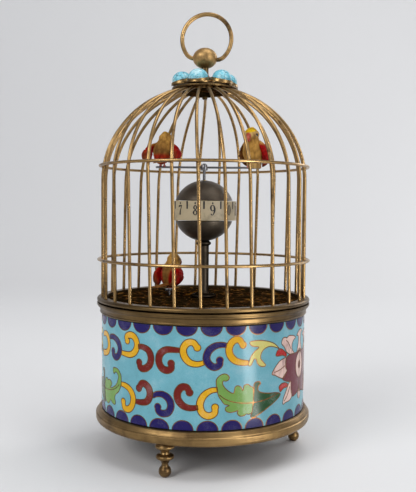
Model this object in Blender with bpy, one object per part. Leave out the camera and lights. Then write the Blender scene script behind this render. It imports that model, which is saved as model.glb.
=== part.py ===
"""Birdcage clock: an enamelled drum on three feet, a domed wire cage with three birds, and a globe with a turning
hour band. The movement in the drum drives the band and rocks the birds.

Metres, +Z up. The origin lies on the standing surface, on the axis of the drum.
"""

import math

import bmesh
import bpy
from mathutils import Matrix, Vector

MM = 0.001

# Clearances
GAP = 0.3 * MM  # between pieces that touch, and round a shaft in its hole

# Number of flats on round pieces
RIM_STEPS = 40
MEDIUM_STEPS = 24
SMALL_STEPS = 12
HOLE_STEPS = 8
WIRE_SIDES = 6

# Feet
FOOT_HEIGHT = 12.0 * MM
FOOT_INSET = 1.9 * MM  # middle of a foot, inside the wall's outer face
FIRST_FOOT_DEG = -20.2  # from the front towards the right
FOOT_COUNT = 3
FOOT_SOLE_R = 1.3 * MM
FOOT_BALL_R = 2.0 * MM
FOOT_NECK_R = 1.2 * MM
FOOT_COLLAR_R = 3.1 * MM
FOOT_COLLAR_T = 1.5 * MM
FOOT_COLLAR_ROUND = 0.7 * MM
FOOT_COLLAR_DROP = 3.7 * MM
FOOT_TOP_R = 3.0 * MM
FOOT_TOP_T = 1.5 * MM

# Drum: foot rim, enamelled wall, top rim
FOOT_RIM_HEIGHT = 5.0 * MM
FOOT_RIM_FLARE = 2.2 * MM
FOOT_RIM_STEP = 0.4 * MM
FOOT_RIM_LOWER_TIER = 2.9 * MM
FOOT_RIM_UNDERCUT = 1.0 * MM
FOOT_RIM_SEAT = 3.1 * MM  # under the base plate's edge
FOOT_RIM_LEDGE = 1.9 * MM
BASE_PLATE_INSET = 2.1 * MM  # edge of the base plate, inside the wall's outer face
BASE_PLATE_T = 1.0 * MM
SHELL_R = 38.7 * MM
SHELL_WALL = 0.8 * MM
SHELL_HEIGHT = 35.0 * MM
TOP_RIM_HEIGHT = 4.0 * MM
TOP_RIM_FLARE = 1.8 * MM
TOP_RIM_EDGE = 0.8 * MM
TOP_RIM_SHELF = 4.2 * MM  # how far the top rim reaches inwards from the wall's outer face
TOP_RIM_FOOT = 0.4 * MM

# Cage
CAGE_RING_HEIGHT = 1.7 * MM
CAGE_RING_LIP = 1.8 * MM
WIRE_COUNT = 27
WIRES_PER_COMB = 3
FIRST_WIRE_DEG = -1.2  # from the front towards the right
WIRE_TWIST_DEG = -7.5  # turn of a wire's upper end from its foot, as bent by hand
WIRE_R = 0.6 * MM
WIRE_INSET = 0.3 * MM  # middle of a wire, inside the wall's outer face
LOWER_HOOP_ABOVE_RING = 14.0 * MM
UPPER_HOOP_ABOVE_LOWER = 35.1 * MM
LOWER_HOOP_WIDTH = 1.1 * MM
UPPER_HOOP_WIDTH = 0.9 * MM
HOOP_HEIGHT = 1.1 * MM
DOME_START_BELOW_HOOP = 5.2 * MM
DOME_RISE = 35.3 * MM
WIRE_END_R = 8.6 * MM
COMB_PLATE_R = 9.4 * MM
COMB_PLATE_BORE_R = 7.4 * MM
COMB_PLATE_T = 1.0 * MM
COMB_PLATE_MARGIN_DEG = 1.4
DOME_POINTS = 7

# Crown
CROWN_R = 12.6 * MM
CROWN_T = 0.8 * MM
CROWN_SLOPE_DEG = 15.0
CROWN_HUB_R = 3.0 * MM
STUD_R = 1.0 * MM
CLAMP_R = 8.6 * MM
CLAMP_T = 0.5 * MM
NUT_R = 2.6 * MM
NUT_T = 1.2 * MM
STONE_COUNT = 6
FIRST_STONE_DEG = -16.0  # from the front towards the right
STONE_R = 3.65 * MM
STONE_STEPS = 12
STONE_HEIGHT = 3.9 * MM
STONE_GIRDLE = 0.7 * MM
STONE_CIRCLE_R = 8.8 * MM
SETTING_PLATE_R = 12.2 * MM
SETTING_PLATE_BORE_R = 4.4 * MM
SETTING_PLATE_T = 0.4 * MM
CUP_WALL = 0.35 * MM
CUP_HEIGHT = 0.8 * MM
FINIAL_R = 4.65 * MM
FINIAL_HALF_HEIGHT = 3.9 * MM
FINIAL_NECK_R = 1.6 * MM
FINIAL_NECK_LENGTH = 4.8 * MM
FINIAL_FLANGE_R = 2.6 * MM
FINIAL_FLANGE_T = 0.9 * MM
FINIAL_POINTS = 8
FINIAL_STEPS = 16

# Carrying ring
HANDLE_R = 9.4 * MM
HANDLE_WIRE_R = 0.8 * MM
HANDLE_CENTRE_UP = 7.4 * MM  # above the pins
HANDLE_PIN_DEPTH = 1.6 * MM  # into the ball
HANDLE_PIN_DROP = 0.3 * MM  # below the middle of the ball
HANDLE_TURN_DEG = -8.0
HANDLE_POINTS = 24

# Cage floor and globe
FLOOR_INSET = 2.4 * MM  # edge of the floor, inside the wall's outer face
FLOOR_T = 1.0 * MM
COLUMN_R = 2.0 * MM
COLUMN_WALL = 0.45 * MM
COLUMN_TAIL = 1.5 * MM  # below the floor
COLUMN_FLANGE_R = 5.0 * MM
COLUMN_FLANGE_T = 0.8 * MM
COLUMN_COLLAR_R = 2.8 * MM
COLUMN_COLLAR_T = 0.8 * MM
GLOBE_R = 11.6 * MM
GLOBE_WALL = 0.6 * MM
GLOBE_POINTS = 5
GLOBE_ABOVE_FLOOR = 33.2 * MM
BAND_R = 12.4 * MM
BAND_WALL = 0.6 * MM
BAND_LIP = 2.2 * MM
BAND_LIP_T = 0.5 * MM
BAND_HEIGHT = 7.3 * MM
CARRIER_T = 0.8 * MM

# Perch and birds
SPINDLE_R = 0.55 * MM
SPINDLE_COLLAR_R = 1.2 * MM
SPINDLE_COLLAR_T = 0.8 * MM
PIPE_WALL = 0.4 * MM
PERCH_ABOVE_GLOBE = 16.5 * MM
PERCH_BAR_R = 0.4 * MM
PERCH_HUB_R = 1.4 * MM
PERCH_HUB_T = 2.4 * MM
RIGHT_BIRD_X = 18.9 * MM
LEFT_BIRD_X = -16.0 * MM
PERCH_BAR_OVERHANG = 2.6 * MM
RIGHT_BIRD_TURN_DEG = -120.0
LEFT_BIRD_TURN_DEG = 60.0
FLOOR_BIRD_X = -13.4 * MM
FLOOR_BIRD_Y = 6.0 * MM
FLOOR_BIRD_TURN_DEG = 44.0
FLOOR_BIRD_PAD_R = 1.6 * MM
FLOOR_BIRD_PAD_T = 0.8 * MM
FLOOR_BIRD_LIFT = 2.4 * MM  # of its feet above the floor
RIGHT_BIRD_SINK = 1.3 * MM  # of its belly below the seat on the perch bar
RIGHT_BIRD_HEIGHT = 15.9 * MM
RIGHT_BIRD_TAIL = 5.2 * MM
RIGHT_BIRD_SPREAD = 0.9 * MM  # of its wings
RIGHT_BIRD_HEAD_R = 3.0 * MM
RIGHT_BIRD_LOOK_DEG = 4.0  # turn of the head
LEFT_BIRD_HEIGHT = 13.0 * MM
LEFT_BIRD_TAIL = 6.0 * MM
LEFT_BIRD_SPREAD = 2.8 * MM
FLOOR_BIRD_HEIGHT = 14.0 * MM
FLOOR_BIRD_TAIL = 9.8 * MM
FLOOR_BIRD_SPREAD = 2.2 * MM
BIRD_WIDTH = 7.8 * MM
BIRD_HEAD_R = 2.6 * MM
BIRD_SIDES = 8
BIRD_PEG_R = 1.0 * MM
BIRD_PEG_HEIGHT = 3.0 * MM
BIRD_PEG_BACK = 1.2 * MM  # behind the middle of the body

# Movement plates
PLATE_R = 30.0 * MM
PLATE_T = 1.2 * MM
PLATE_SPACING = 19.8 * MM
PLATE_LIFT = 3.3 * MM  # back plate above the base plate
PILLAR_R = 1.6 * MM
PILLAR_INSET = 2.7 * MM  # middle of a pillar, inside the plates' edge
PILLAR_DEGS = (0.0, 90.0, 180.0, 270.0)  # from +X
STANDOFF_R = 1.6 * MM
ARBOR_R = 0.5 * MM
CENTRE_ARBOR_R = 1.0 * MM
WINDING_ARBOR_R = 1.5 * MM

# Wheels and pinions: teeth, with the module in metres
GREAT_MODULE = 0.5 * MM
TRAIN_MODULE = 0.4 * MM
BARREL_TEETH = 48
CENTRE_LEAVES = 8
CENTRE_TEETH = 36
THIRD_LEAVES = 6
THIRD_TEETH = 40
FOURTH_LEAVES = 6
FOURTH_TEETH = 36
ESCAPE_LEAVES = 6
ESCAPE_TEETH = 15
CANNON_LEAVES = 10
MOTION_TEETH = 30
MOTION_LEAVES = 8
HOUR_TEETH = 32
ADDENDUM = 0.9  # in modules
DEDENDUM = 1.2  # in modules
WHEEL_ROOT_SHARE = 0.22  # half a tooth's width, as a share of the tooth pitch
WHEEL_TIP_SHARE = 0.10
LEAF_ROOT_SHARE = 0.20
LEAF_TIP_SHARE = 0.11
WHEEL_T = 0.8 * MM
PINION_T = 1.8 * MM

# Heights of the train above the back plate
BARREL_UP = 0.6 * MM
FOURTH_WHEEL_UP = 2.8 * MM
THIRD_WHEEL_UP = 5.8 * MM
CENTRE_WHEEL_UP = 9.3 * MM
BALANCE_UP = 9.8 * MM
FORK_UP = 13.3 * MM
ESCAPE_WHEEL_UP = 15.8 * MM
HAIRSPRING_UP = 16.2 * MM

# Places of the train, as angles from +X
CENTRE_ARBOR_DEG = 70.0
CENTRE_ARBOR_R_OUT = 13.0 * MM
BARREL_DEG_FROM_CENTRE = 187.5  # direction from the centre arbor to the barrel
THIRD_DEG_FROM_CENTRE = -40.0
ESCAPE_DEG = -50.0
BALANCE_DEG = -135.0
BALANCE_OUT = 14.0 * MM

# Barrel, mainspring and winding
BARREL_R = 11.0 * MM
BARREL_WALL = 0.7 * MM
BARREL_FLANGE_T = 1.2 * MM
BARREL_HEIGHT = 6.8 * MM
MAINSPRING_T = 0.3 * MM
MAINSPRING_TURNS = 4
MAINSPRING_IN_R = 2.4 * MM
MAINSPRING_POINTS_PER_TURN = 12
RATCHET_TEETH = 24
RATCHET_R = 5.5 * MM
RATCHET_TOOTH = 0.7 * MM
RATCHET_T = 0.8 * MM
RATCHET_DROP = 1.1 * MM  # below the back plate
CLICK_PIVOT_DEG = 120.0
CLICK_PIVOT_OUT = 8.6 * MM
CLICK_R = 1.6 * MM
CLICK_STUD_R = 0.6 * MM
CLICK_BITE = 0.3 * MM
CLICK_SIDE_DEG = 30.0  # from the pivot round to the tooth it holds
KEY_HUB_R = 2.7 * MM
KEY_HUB_HEIGHT = 5.6 * MM
KEY_SOCKET = 4.6 * MM
KEY_BOW_WIDTH = 14.0 * MM
KEY_BOW_HEIGHT = 6.2 * MM
KEY_BOW_T = 1.4 * MM
KEY_DROP = 1.0 * MM  # below the base plate
KNOB_R = 4.0 * MM
KNOB_T = 3.6 * MM
KNOB_DROP = 1.2 * MM
KNOB_SOCKET = 2.6 * MM

# Escapement, balance and hairspring
ESCAPE_R = 5.0 * MM
ESCAPE_TOOTH = 1.3 * MM
PALLET_HALF_SPAN_DEG = 54.0
PALLET_PIN_R = 0.25 * MM
LEVER_T = 0.8 * MM
LEVER_ARM_WIDTH = 1.4 * MM
LEVER_HUB_R = 1.5 * MM
PERCH_SWING_DEG = 10.0
FORK_PRONG = 0.8 * MM
IMPULSE_PIN_R = 0.3 * MM
IMPULSE_CIRCLE_R = 2.6 * MM
PIN_PLAY = 0.5 * MM  # beside a pin in its slot
ROLLER_R = 3.2 * MM
ROLLER_T = 0.7 * MM
BALANCE_R = 8.0 * MM
BALANCE_RIM = 1.2 * MM
BALANCE_T = 1.5 * MM
BALANCE_SPOKE = 1.2 * MM
HAIRSPRING_IN_R = 1.4 * MM
HAIRSPRING_OUT_R = 4.4 * MM
HAIRSPRING_TURNS = 3
HAIRSPRING_POINTS_PER_TURN = 12
HAIRSPRING_T = 0.22 * MM
HAIRSPRING_HEIGHT = 0.7 * MM
REGULATOR_T = 0.5 * MM
REGULATOR_R = 2.4 * MM
REGULATOR_TAIL = 10.0 * MM
REGULATOR_WIDTH = 1.0 * MM
CURB_PIN_R = 0.25 * MM

# Motion work and bird drive, above the front plate
CANNON_UP = 0.8 * MM
CANNON_T = 2.5 * MM
MOTION_UP = 1.5 * MM
MOTION_PINION_T = 4.2 * MM
MOTION_HUB_R = 1.5 * MM
MOTION_STUD_R = 0.6 * MM
HOUR_WHEEL_UP = 5.2 * MM
HOUR_PIPE_TAIL = 0.9 * MM
DRIVE_ARM_T = 0.8 * MM
CRANK_LENGTH = 5.7 * MM
CRANK_PIN_R = 0.4 * MM
CRANK_T = 0.8 * MM
CRANK_WIDTH = 1.8 * MM
CRANK_HEEL = 1.0 * MM  # beyond the arbor

# Radii worked out from the sizes above
FOOT_CIRCLE_R = SHELL_R - FOOT_INSET
BASE_PLATE_R = SHELL_R - BASE_PLATE_INSET
FOOT_RIM_BORE_R = BASE_PLATE_R - FOOT_RIM_SEAT
TOP_RIM_BORE_R = SHELL_R - TOP_RIM_SHELF
FLOOR_R = SHELL_R - FLOOR_INSET
WIRE_CIRCLE_R = SHELL_R - WIRE_INSET
PILLAR_CIRCLE_R = PLATE_R - PILLAR_INSET
PIPE_BORE_R = SPINDLE_R + GAP
PIPE_R = PIPE_BORE_R + PIPE_WALL

# Heights worked out from the sizes above
FOOT_RIM_TOP = FOOT_HEIGHT + FOOT_RIM_HEIGHT
BASE_PLATE_BOTTOM = FOOT_HEIGHT + FOOT_RIM_LEDGE + GAP
BASE_PLATE_TOP = BASE_PLATE_BOTTOM + BASE_PLATE_T
SHELL_BOTTOM = FOOT_RIM_TOP + GAP
SHELL_TOP = SHELL_BOTTOM + SHELL_HEIGHT
TOP_RIM_BOTTOM = SHELL_TOP + GAP
TOP_RIM_TOP = TOP_RIM_BOTTOM + TOP_RIM_HEIGHT
CAGE_RING_BOTTOM = TOP_RIM_TOP + GAP
CAGE_RING_TOP = CAGE_RING_BOTTOM + CAGE_RING_HEIGHT
LOWER_HOOP_Z = CAGE_RING_TOP + LOWER_HOOP_ABOVE_RING
UPPER_HOOP_Z = LOWER_HOOP_Z + UPPER_HOOP_ABOVE_LOWER
DOME_START_Z = UPPER_HOOP_Z - DOME_START_BELOW_HOOP
FLOOR_BOTTOM = TOP_RIM_TOP + GAP
FLOOR_TOP = FLOOR_BOTTOM + FLOOR_T
GLOBE_Z = FLOOR_TOP + GLOBE_ABOVE_FLOOR
PERCH_Z = GLOBE_Z + PERCH_ABOVE_GLOBE
BACK_BOTTOM = BASE_PLATE_TOP + PLATE_LIFT
BACK_TOP = BACK_BOTTOM + PLATE_T
FRONT_BOTTOM = BACK_TOP + PLATE_SPACING
FRONT_TOP = FRONT_BOTTOM + PLATE_T
HOUR_PIPE_BOTTOM = FRONT_TOP + HOUR_WHEEL_UP - HOUR_PIPE_TAIL
CROWN_SLOPE = math.tan(math.radians(CROWN_SLOPE_DEG))


def dome_height(radius):
    """Height of the middle of a cage wire where it is this far from the axis, above the dome's start."""
    return DOME_START_Z + DOME_RISE * math.sqrt(1.0 - (radius / WIRE_CIRCLE_R) ** 2)


def dome_radius(height):
    return WIRE_CIRCLE_R * math.sqrt(1.0 - (max(height - DOME_START_Z, 0.0) / DOME_RISE) ** 2)


CROWN_EDGE_Z = dome_height(CROWN_R) + WIRE_R / math.cos(math.radians(CROWN_SLOPE_DEG)) + GAP


def crown_top(radius):
    """Height of the crown cap's sloping upper face."""
    return CROWN_EDGE_Z + CROWN_T + CROWN_SLOPE * (CROWN_R - radius)


CROWN_HUB_Z = crown_top(CROWN_HUB_R)
FINIAL_Z = CROWN_HUB_Z + GAP + FINIAL_NECK_LENGTH + FINIAL_HALF_HEIGHT * math.sqrt(1.0 - (FINIAL_NECK_R / FINIAL_R) ** 2)
PIN_Z = FINIAL_Z - HANDLE_PIN_DROP
COMB_PLATE_TOP = dome_height(COMB_PLATE_R) + WIRE_R
CLAMP_TOP = COMB_PLATE_TOP - COMB_PLATE_T - GAP
NUT_BOTTOM = CLAMP_TOP - CLAMP_T - NUT_T


def polar(radius, degrees):
    """X and Y at this angle from +X."""
    angle = math.radians(degrees)
    return radius * math.cos(angle), radius * math.sin(angle)


def polar_from_front(radius, degrees):
    """X and Y at this angle from the front (-Y), counted towards the right."""
    return polar(radius, degrees - 90.0)


def meeting_point(first, first_r, second, second_r):
    """Where two circles meet, on the left of the line from the first centre to the second."""
    line = second - first
    along = (first_r**2 - second_r**2 + line.length_squared) / (2.0 * line.length)
    aside = math.sqrt(first_r**2 - along**2)
    unit = line.normalized()
    return first + along * unit + aside * Vector((-unit.y, unit.x))


def pitch_r(teeth, module):
    return teeth * module / 2.0


def centre_distance(wheel_teeth, pinion_teeth, module):
    return pitch_r(wheel_teeth + pinion_teeth, module)


def bearing(start, end):
    """Direction from one axis to another, in degrees from +X."""
    line = end - start
    return math.degrees(math.atan2(line.y, line.x))


# Places of the axes in plan
MIDDLE = Vector((0.0, 0.0))
CENTRE_AT = Vector(polar(CENTRE_ARBOR_R_OUT, CENTRE_ARBOR_DEG))
BARREL_AT = CENTRE_AT + Vector(
    polar(centre_distance(BARREL_TEETH, CENTRE_LEAVES, GREAT_MODULE), BARREL_DEG_FROM_CENTRE)
)
THIRD_AT = CENTRE_AT + Vector(
    polar(centre_distance(CENTRE_TEETH, THIRD_LEAVES, GREAT_MODULE), THIRD_DEG_FROM_CENTRE)
)
ESCAPE_OUT = ESCAPE_R / math.cos(math.radians(PALLET_HALF_SPAN_DEG))
ESCAPE_AT = Vector(polar(ESCAPE_OUT, ESCAPE_DEG))
FOURTH_AT = meeting_point(
    THIRD_AT,
    centre_distance(THIRD_TEETH, FOURTH_LEAVES, TRAIN_MODULE),
    ESCAPE_AT,
    centre_distance(FOURTH_TEETH, ESCAPE_LEAVES, TRAIN_MODULE),
)
BALANCE_AT = Vector(polar(BALANCE_OUT, BALANCE_DEG))
MOTION_AT = meeting_point(
    CENTRE_AT,
    centre_distance(MOTION_TEETH, CANNON_LEAVES, GREAT_MODULE),
    MIDDLE,
    centre_distance(HOUR_TEETH, MOTION_LEAVES, GREAT_MODULE),
)
FLOOR_BIRD_AT = Vector((FLOOR_BIRD_X, FLOOR_BIRD_Y))

COLOURS = {  # base colour, roughness, metallic
    "antique_brass": ((0.45, 0.31, 0.16), 0.38, 1.0),
    "dark_brass": ((0.16, 0.10, 0.06), 0.5, 1.0),
    "clock_brass": ((0.72, 0.55, 0.24), 0.3, 1.0),
    "steel": ((0.55, 0.56, 0.58), 0.3, 1.0),
    "enamel": ((0.20, 0.52, 0.62), 0.15, 0.0),
    "turquoise": ((0.16, 0.62, 0.70), 0.3, 0.0),
    "globe_metal": ((0.18, 0.18, 0.18), 0.42, 1.0),
    "hour_ivory": ((0.80, 0.76, 0.64), 0.4, 0.0),
    "bird_cream": ((0.85, 0.72, 0.42), 0.6, 0.0),
}


def make_materials():
    made = {}
    for name, (colour, roughness, metallic) in COLOURS.items():
        material = bpy.data.materials.new(name)
        material.use_nodes = True
        shader = material.node_tree.nodes["Principled BSDF"]
        shader.inputs["Base Color"].default_value = (*colour, 1.0)
        shader.inputs["Roughness"].default_value = roughness
        shader.inputs["Metallic"].default_value = metallic
        made[name] = material
    return made


# Shapes, each returned as a bmesh


def turned(profile, steps):
    """A turned solid about Z. The profile is (radius, height) points: a closed outline that stays off the axis, or a
    line that starts and ends on it."""
    shape = bmesh.new()
    points = [shape.verts.new((radius, 0.0, height)) for radius, height in profile]
    lines = [shape.edges.new(pair) for pair in zip(points, points[1:])]
    if min(radius for radius, _ in profile) > 0.0:
        lines.append(shape.edges.new((points[-1], points[0])))
    bmesh.ops.spin(
        shape, geom=points + lines, cent=(0, 0, 0), axis=(0, 0, 1), angle=math.tau, steps=steps, use_merge=True
    )
    bmesh.ops.remove_doubles(shape, verts=shape.verts, dist=1e-7)
    bmesh.ops.recalc_face_normals(shape, faces=shape.faces)
    return shape


def rod(radius, low, high, at=(0.0, 0.0), steps=SMALL_STEPS):
    """A plain upright cylinder."""
    shape = bmesh.new()
    place = Matrix.Translation((at[0], at[1], (low + high) / 2.0))
    bmesh.ops.create_cone(
        shape, cap_ends=True, segments=steps, radius1=radius, radius2=radius, depth=high - low, matrix=place
    )
    return shape


def hole(radius, low, high, at=(0.0, 0.0), steps=HOLE_STEPS):
    """A cutter whose flats leave the clearance all round a shaft of this radius, and which passes both faces."""
    return rod((radius + GAP) / math.cos(math.pi / steps), low - 1.0 * MM, high + 1.0 * MM, at, steps)


def slab(outline, low, high):
    """A flat outline in X and Y, extruded from one height to the other."""
    shape = bmesh.new()
    face = shape.faces.new([shape.verts.new((x, y, low)) for x, y in outline])
    risen = bmesh.ops.extrude_face_region(shape, geom=[face])["geom"]
    tops = [item for item in risen if isinstance(item, bmesh.types.BMVert)]
    bmesh.ops.translate(shape, verts=tops, vec=(0.0, 0.0, high - low))
    bmesh.ops.recalc_face_normals(shape, faces=shape.faces)
    return shape


def bar(start, end, width, low, high):
    """A flat bar between two points in plan."""
    start, end = Vector(start), Vector(end)
    along = (end - start).normalized()
    side = Vector((-along.y, along.x)) * width / 2.0
    return slab([start - side, end - side, end + side, start + side], low, high)


def lofted(rings):
    """A closed solid through rings of points, each ring with as many points as the last."""
    shape = bmesh.new()
    loops = [[shape.verts.new(point) for point in ring] for ring in rings]
    count = len(loops[0])
    for low, high in zip(loops, loops[1:]):
        for i in range(count):
            shape.faces.new((low[i], low[(i + 1) % count], high[(i + 1) % count], high[i]))
    shape.faces.new(loops[0][::-1])
    shape.faces.new(loops[-1])
    bmesh.ops.recalc_face_normals(shape, faces=shape.faces)
    return shape


def swept(path, section, flat):
    """A section swept along a path that lies in one plane. flat is that plane's normal, and a section point is
    (distance across the path in the plane, distance along flat)."""
    flat = Vector(flat).normalized()
    rings = []
    for i, point in enumerate(path):
        before, after = path[max(i - 1, 0)], path[min(i + 1, len(path) - 1)]
        side = (after - before).normalized().cross(flat)
        rings.append([point + across * side + up * flat for across, up in section])
    return lofted(rings)


def round_section(radius, sides):
    return [polar(radius, 360.0 * i / sides) for i in range(sides)]


def strip_section(thickness, height):
    half_t, half_h = thickness / 2.0, height / 2.0
    return [(-half_t, -half_h), (half_t, -half_h), (half_t, half_h), (-half_t, half_h)]


def moved(shape, matrix):
    bmesh.ops.transform(shape, matrix=matrix, verts=shape.verts)
    return shape


def toothed(teeth, module, low, high, tooth_deg, root_share, tip_share):
    """A toothed disc with one tooth's middle at tooth_deg."""
    tip_r = pitch_r(teeth, module) + ADDENDUM * module
    root_r = pitch_r(teeth, module) - DEDENDUM * module
    step = 360.0 / teeth
    corners = ((-root_share, root_r), (-tip_share, tip_r), (tip_share, tip_r), (root_share, root_r))
    outline = [
        polar(radius, tooth_deg + (i + share) * step) for i in range(teeth) for share, radius in corners
    ]
    return slab(outline, low, high)


def wheel(teeth, module, low, tooth_deg, thickness=WHEEL_T):
    return toothed(teeth, module, low, low + thickness, tooth_deg, WHEEL_ROOT_SHARE, WHEEL_TIP_SHARE)


def pinion(leaves, module, low, leaf_deg, thickness=PINION_T):
    return toothed(leaves, module, low, low + thickness, leaf_deg, LEAF_ROOT_SHARE, LEAF_TIP_SHARE)


def gap_facing(teeth, towards_deg):
    """Angle of a tooth, so that the gap between two teeth faces towards_deg."""
    return towards_deg + 180.0 / teeth


def globe_arc(radius, low, high, points):
    """Points on a sphere's outline between two heights from its middle, from low to high."""
    start, end = math.asin(low / radius), math.asin(high / radius)
    angles = [start + (end - start) * i / (points - 1) for i in range(points)]
    return [(radius * math.cos(angle), GLOBE_Z + radius * math.sin(angle)) for angle in angles]


# Objects


class Workshop:
    """Makes the objects, each with its parent empty on the axis that it turns or slides on."""

    def __init__(self):
        self.materials = make_materials()

    def axis(self, name, at=MIDDLE, height=0.0, turn_deg=0.0):
        empty = bpy.data.objects.new(name, None)
        empty.location = (at[0], at[1], height)
        empty.rotation_euler.z = math.radians(turn_deg)
        empty.empty_display_size = 5.0 * MM
        bpy.context.scene.collection.objects.link(empty)
        return empty

    def mesh_object(self, name, shape, parent):
        mesh = bpy.data.meshes.new(name)
        shape.to_mesh(mesh)
        shape.free()
        mesh.shade_smooth()
        mesh.set_sharp_from_angle(angle=math.radians(32.0))
        made = bpy.data.objects.new(name, mesh)
        made.parent = parent
        bpy.context.scene.collection.objects.link(made)
        return made

    def piece(self, name, parent, material, joined, cuts=()):
        """One piece: the first shape, with the others joined to it and then the cutters taken away."""
        made = self.mesh_object(name, joined[0], parent)
        made.data.materials.append(self.materials[material])
        tools = [("UNION", shape) for shape in joined[1:]] + [("DIFFERENCE", shape) for shape in cuts]
        for number, (operation, shape) in enumerate(tools, 1):
            tool = self.mesh_object(f"{name}_tool_{number}", shape, parent)
            tool.hide_render = True
            tool.display_type = "WIRE"
            boolean = made.modifiers.new(f"{operation.lower()}_{number}", "BOOLEAN")
            boolean.operation = operation
            boolean.object = tool
        return made


# Base and drum


def make_foot(shop, base, name, degrees):
    top = FOOT_HEIGHT - GAP
    collar_top = top - FOOT_COLLAR_DROP
    collar_bottom = collar_top - FOOT_COLLAR_T
    ball_z = math.sqrt(FOOT_BALL_R**2 - FOOT_SOLE_R**2)
    neck_z = ball_z + math.sqrt(FOOT_BALL_R**2 - FOOT_NECK_R**2)
    profile = [
        (0.0, top),
        (FOOT_TOP_R, top),
        (FOOT_TOP_R, top - FOOT_TOP_T),
        (FOOT_NECK_R + GAP, collar_top + 2.0 * FOOT_COLLAR_ROUND),
        (FOOT_COLLAR_R - FOOT_COLLAR_ROUND, collar_top + FOOT_COLLAR_ROUND),
        (FOOT_COLLAR_R, collar_top),
        (FOOT_COLLAR_R, collar_bottom),
        (FOOT_COLLAR_R - FOOT_COLLAR_ROUND, collar_bottom - FOOT_COLLAR_ROUND),
        (FOOT_NECK_R, collar_bottom - 2.0 * FOOT_COLLAR_ROUND),
        (FOOT_NECK_R, neck_z),
        (FOOT_BALL_R, ball_z),
        (FOOT_SOLE_R, 0.0),
        (0.0, 0.0),
    ]
    foot = shop.piece(name, base, "antique_brass", [turned(profile, 10)])
    foot.location.xy = polar_from_front(FOOT_CIRCLE_R, degrees)


def make_foot_rim(shop, base):
    outer = SHELL_R + FOOT_RIM_FLARE
    upper_tier = outer - FOOT_RIM_STEP
    seat_r = BASE_PLATE_R + 2.0 * GAP
    tier_z = FOOT_HEIGHT + FOOT_RIM_LOWER_TIER
    ledge = FOOT_HEIGHT + FOOT_RIM_LEDGE
    profile = [
        (seat_r, FOOT_RIM_TOP),
        (SHELL_R + GAP, FOOT_RIM_TOP),
        (upper_tier, tier_z + FOOT_RIM_STEP),
        (outer, tier_z),
        (outer, FOOT_HEIGHT + FOOT_RIM_UNDERCUT),
        (outer - FOOT_RIM_UNDERCUT, FOOT_HEIGHT),
        (FOOT_RIM_BORE_R, FOOT_HEIGHT),
        (FOOT_RIM_BORE_R, ledge),
        (seat_r, ledge),
    ]
    shop.piece("foot_rim", base, "antique_brass", [turned(profile, RIM_STEPS)])


def make_base_plate(shop, base):
    low, high = BASE_PLATE_BOTTOM, BASE_PLATE_TOP
    cuts = [
        hole(WINDING_ARBOR_R, low, high, BARREL_AT),
        hole(CENTRE_ARBOR_R, low, high, CENTRE_AT),
    ]
    shop.piece("base_plate", base, "dark_brass", [rod(BASE_PLATE_R, low, high, steps=RIM_STEPS)], cuts)


def make_drum_shell(shop, base):
    inner = SHELL_R - SHELL_WALL
    profile = [(SHELL_R, SHELL_TOP), (SHELL_R, SHELL_BOTTOM), (inner, SHELL_BOTTOM), (inner, SHELL_TOP)]
    shop.piece("drum_shell", base, "enamel", [turned(profile, RIM_STEPS)])


def make_top_rim(shop, base):
    outer = SHELL_R + TOP_RIM_FLARE
    foot = SHELL_R + TOP_RIM_FOOT
    inner = SHELL_R - SHELL_WALL
    cove_z = TOP_RIM_TOP - TOP_RIM_EDGE
    profile = [
        (TOP_RIM_BORE_R, TOP_RIM_TOP),
        (outer, TOP_RIM_TOP),
        (outer, cove_z),
        ((outer + foot) / 2.0 - GAP, cove_z - TOP_RIM_EDGE),
        (foot, TOP_RIM_BOTTOM),
        (inner, TOP_RIM_BOTTOM),
        (inner, cove_z),
        (TOP_RIM_BORE_R, cove_z),
    ]
    shop.piece("drum_top_rim", base, "antique_brass", [turned(profile, RIM_STEPS)])


def make_cage_floor(shop, base):
    cuts = [
        hole(COLUMN_R, FLOOR_BOTTOM, FLOOR_TOP, steps=SMALL_STEPS),
        hole(ARBOR_R, FLOOR_BOTTOM, FLOOR_TOP, FLOOR_BIRD_AT),
    ]
    disc = rod(FLOOR_R, FLOOR_BOTTOM, FLOOR_TOP, steps=RIM_STEPS)
    shop.piece("cage_floor", base, "dark_brass", [disc], cuts)


# Cage


def make_cage_ring(shop, cage):
    outer = SHELL_R + CAGE_RING_LIP
    inner = FLOOR_R + 2.0 * GAP
    middle = (CAGE_RING_BOTTOM + CAGE_RING_TOP) / 2.0
    profile = [
        (inner, CAGE_RING_TOP),
        (outer - CAGE_RING_HEIGHT / 2.0, CAGE_RING_TOP),
        (outer, middle),
        (outer - GAP, CAGE_RING_BOTTOM),
        (inner, CAGE_RING_BOTTOM),
    ]
    shop.piece("cage_ring", cage, "antique_brass", [turned(profile, RIM_STEPS)])


def make_hoop(shop, cage, name, height, width):
    """A hoop outside the wires, whose flats clear them."""
    low, high = height - HOOP_HEIGHT / 2.0, height + HOOP_HEIGHT / 2.0
    inner = (dome_radius(low) + WIRE_R + GAP) / math.cos(math.pi / RIM_STEPS)
    profile = [(inner + width, high), (inner + width, low), (inner, low), (inner, high)]
    shop.piece(name, cage, "antique_brass", [turned(profile, RIM_STEPS)])


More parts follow.
